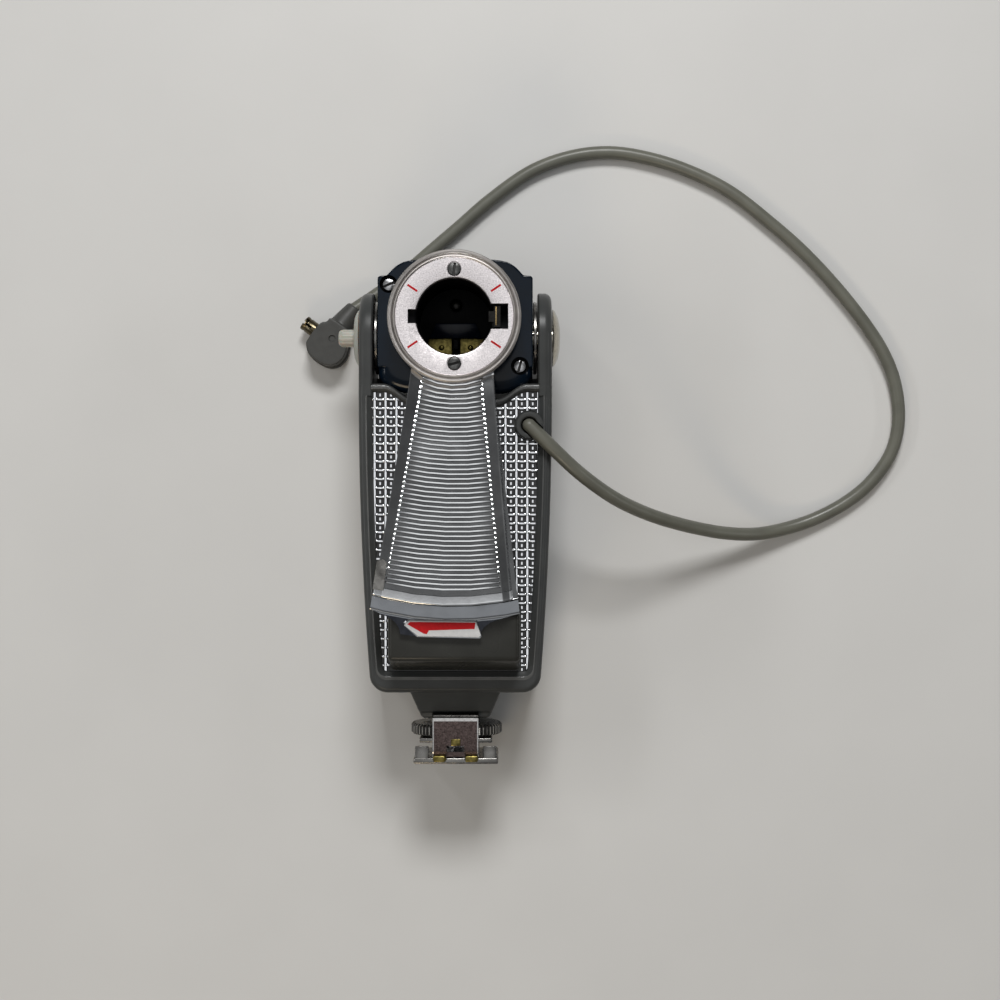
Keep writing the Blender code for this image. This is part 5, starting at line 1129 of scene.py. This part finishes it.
leaf_metal = finish("leaf_chrome", (0.70, 0.71, 0.72), 0.09, metallic=1, mottle=0.07, mottle_size=2.5,
                    gloss_spread=0.03, grain=0.004, grain_size=0.6)
painted_rib_shade = finish("painted_rib_shade", (0.05, 0.05, 0.052), 0.3, metallic=1, mottle=0.3, mottle_size=0.8)
pull_satin = finish("brushed_band", (0.205, 0.213, 0.225), 0.2, metallic=1, mottle=0.06, mottle_size=2.5,
                    grain_size=0.6)
tongue_painted_shade = finish("painted_shade_tongue", (0.03, 0.032, 0.038), 0.15, metallic=1, mottle=0.2, mottle_size=1.5)
for index in range(LEAF_COUNT):
    number = "%02d" % (index + 1)
    rear = index == LEAF_COUNT - 1
    leaf = leaf_mesh(PULL_REACH, PULL_RIM_HALF, True) if rear else leaf_mesh(LEAF_REACH, LEAF_RIM_HALF)
    leaf.transform(Matrix.Translation((*HUB, LEAF_REAR + LEAF_PITCH * (LEAF_COUNT - 1 - index)))
                   @ Matrix.Rotation(LEAF_TURN + LEAF_STAGGER * index, 4, "Z"))
    body = "head" if index == 0 else "pull_leaf" if rear else "leaf_" + number
    piece = mount("ribbed_leaf_" + number, leaf, leaf_metal, body, "leaf_metal", "fan_leaf_" + number,
                  crease=48)
    # The ribs' steep faces toward the foot, inside the rim band, are painted dark: painted shade.
    touched(piece, painted_rib_shade, lambda middle, facing: facing.y < -0.55 and facing.z > 0 and middle.y > -18.5)
    if rear:
        touched(piece, pull_satin, lambda middle, facing: facing.z > 0.9
                and off_axis(middle, HUB) > PULL_REACH - PULL_BAND)
        # The tongue beyond the pull band is painted near black: painted shade.
        touched(piece, tongue_painted_shade, lambda middle, facing: facing.z > 0.9
                and middle.y < HUB[1] - PULL_REACH + 0.02 * middle.x ** 2
                and off_axis(middle, HUB) > PULL_REACH + 0.25)

# Leaf stop
# A short stop near the rim, on the left margin of the front leaf, with a nick above it. It is folded
# up from the leaf's own plated sheet.
STOP_OUTLINE = ((-11.75, -52.6), (-12.6, -51.7), (-13.9, -52.3), (-14.5, -58.2), (-12.2, -58.4))
STOP_LEVELS = (0.3, 0.9)
STOP_MIDDLE = 55
STOP_RUN = 56.5
stop_level = (STOP_RUN - EYE[1]) * LEAF_SLOPE
stop_place = (Matrix.Translation((*HUB, LEAF_REAR + (LEAF_COUNT - 1) * LEAF_PITCH))
              @ Matrix.Rotation(LEAF_TURN, 4, "Z") @ Matrix.Translation((0, -STOP_MIDDLE, stop_level))
              @ Matrix.Rotation(-math.atan(LEAF_SLOPE), 4, "X") @ Matrix.Translation((0, STOP_MIDDLE, 0)))
stop = softened(prism(STOP_OUTLINE, *STOP_LEVELS), 0.06, 1)
stop.transform(stop_place)
mount("leaf_stop", stop, dull_nickel, "head", "leaf_metal")

# Pull tab
# A white enamelled plate riveted to the rear leaf's tongue, with a red half arrow that shows which
# way to pull the fan open.
TAB_OUTLINE = (
    (-10.18, -64.77), (-9.29, -64.27), (4.66, -64.46), (5.70, -67.37), (5.24, -67.75), (-7.54, -67.48),
    (-10.18, -65.43),
)
ARROW_OUTLINE = (
    (-9.79, -65.04), (-9.17, -64.54), (4.50, -64.70), (4.36, -66.01), (-5.22, -66.32), (-5.68, -67.1),
    (-6.3, -67.0),
)
TAB_X = -2.2
TAB_Y = -66
TAB_RUN = 66.1
BORDER_SPREAD = (1.035, 1.16)
tab_level = (PULL_REACH - PULL_BAND - EYE[1]) * LEAF_SLOPE + (TAB_RUN - PULL_REACH + PULL_BAND) * TONGUE_SLOPE
tab_place = (Matrix.Translation((*HUB, LEAF_REAR + 0.2)) @ Matrix.Translation((0, TAB_Y, tab_level))
             @ Matrix.Rotation(-math.atan(TONGUE_SLOPE), 4, "X") @ Matrix.Translation((0, -TAB_Y, 0)))
enamel = finish("white_enamel", (0.55, 0.55, 0.55), 0.3, mottle=0.06, mottle_size=0.8,
                specular_ior_level=0.3)
outline = [(BORDER_SPREAD[0] * (x - TAB_X) + TAB_X, BORDER_SPREAD[1] * (y - TAB_Y) + TAB_Y)
           for x, y in TAB_OUTLINE]
border = softened(prism(outline, -0.05, 0.28), 0.1, 2)
border.transform(tab_place)
mount("tab_border", border, leaf_metal, "pull_leaf", "leaf_metal")
plate = softened(prism(TAB_OUTLINE, 0.0, 0.35), 0.08, 2)
plate.transform(tab_place)
mount("enamel_tab", plate, enamel, "pull_leaf", "white_enamel", "tab_plate")
arrow = prism(ARROW_OUTLINE, 0.33, 0.39)
arrow.transform(tab_place)
mount("tab_arrow", arrow, red_paint, "pull_leaf", "white_enamel")
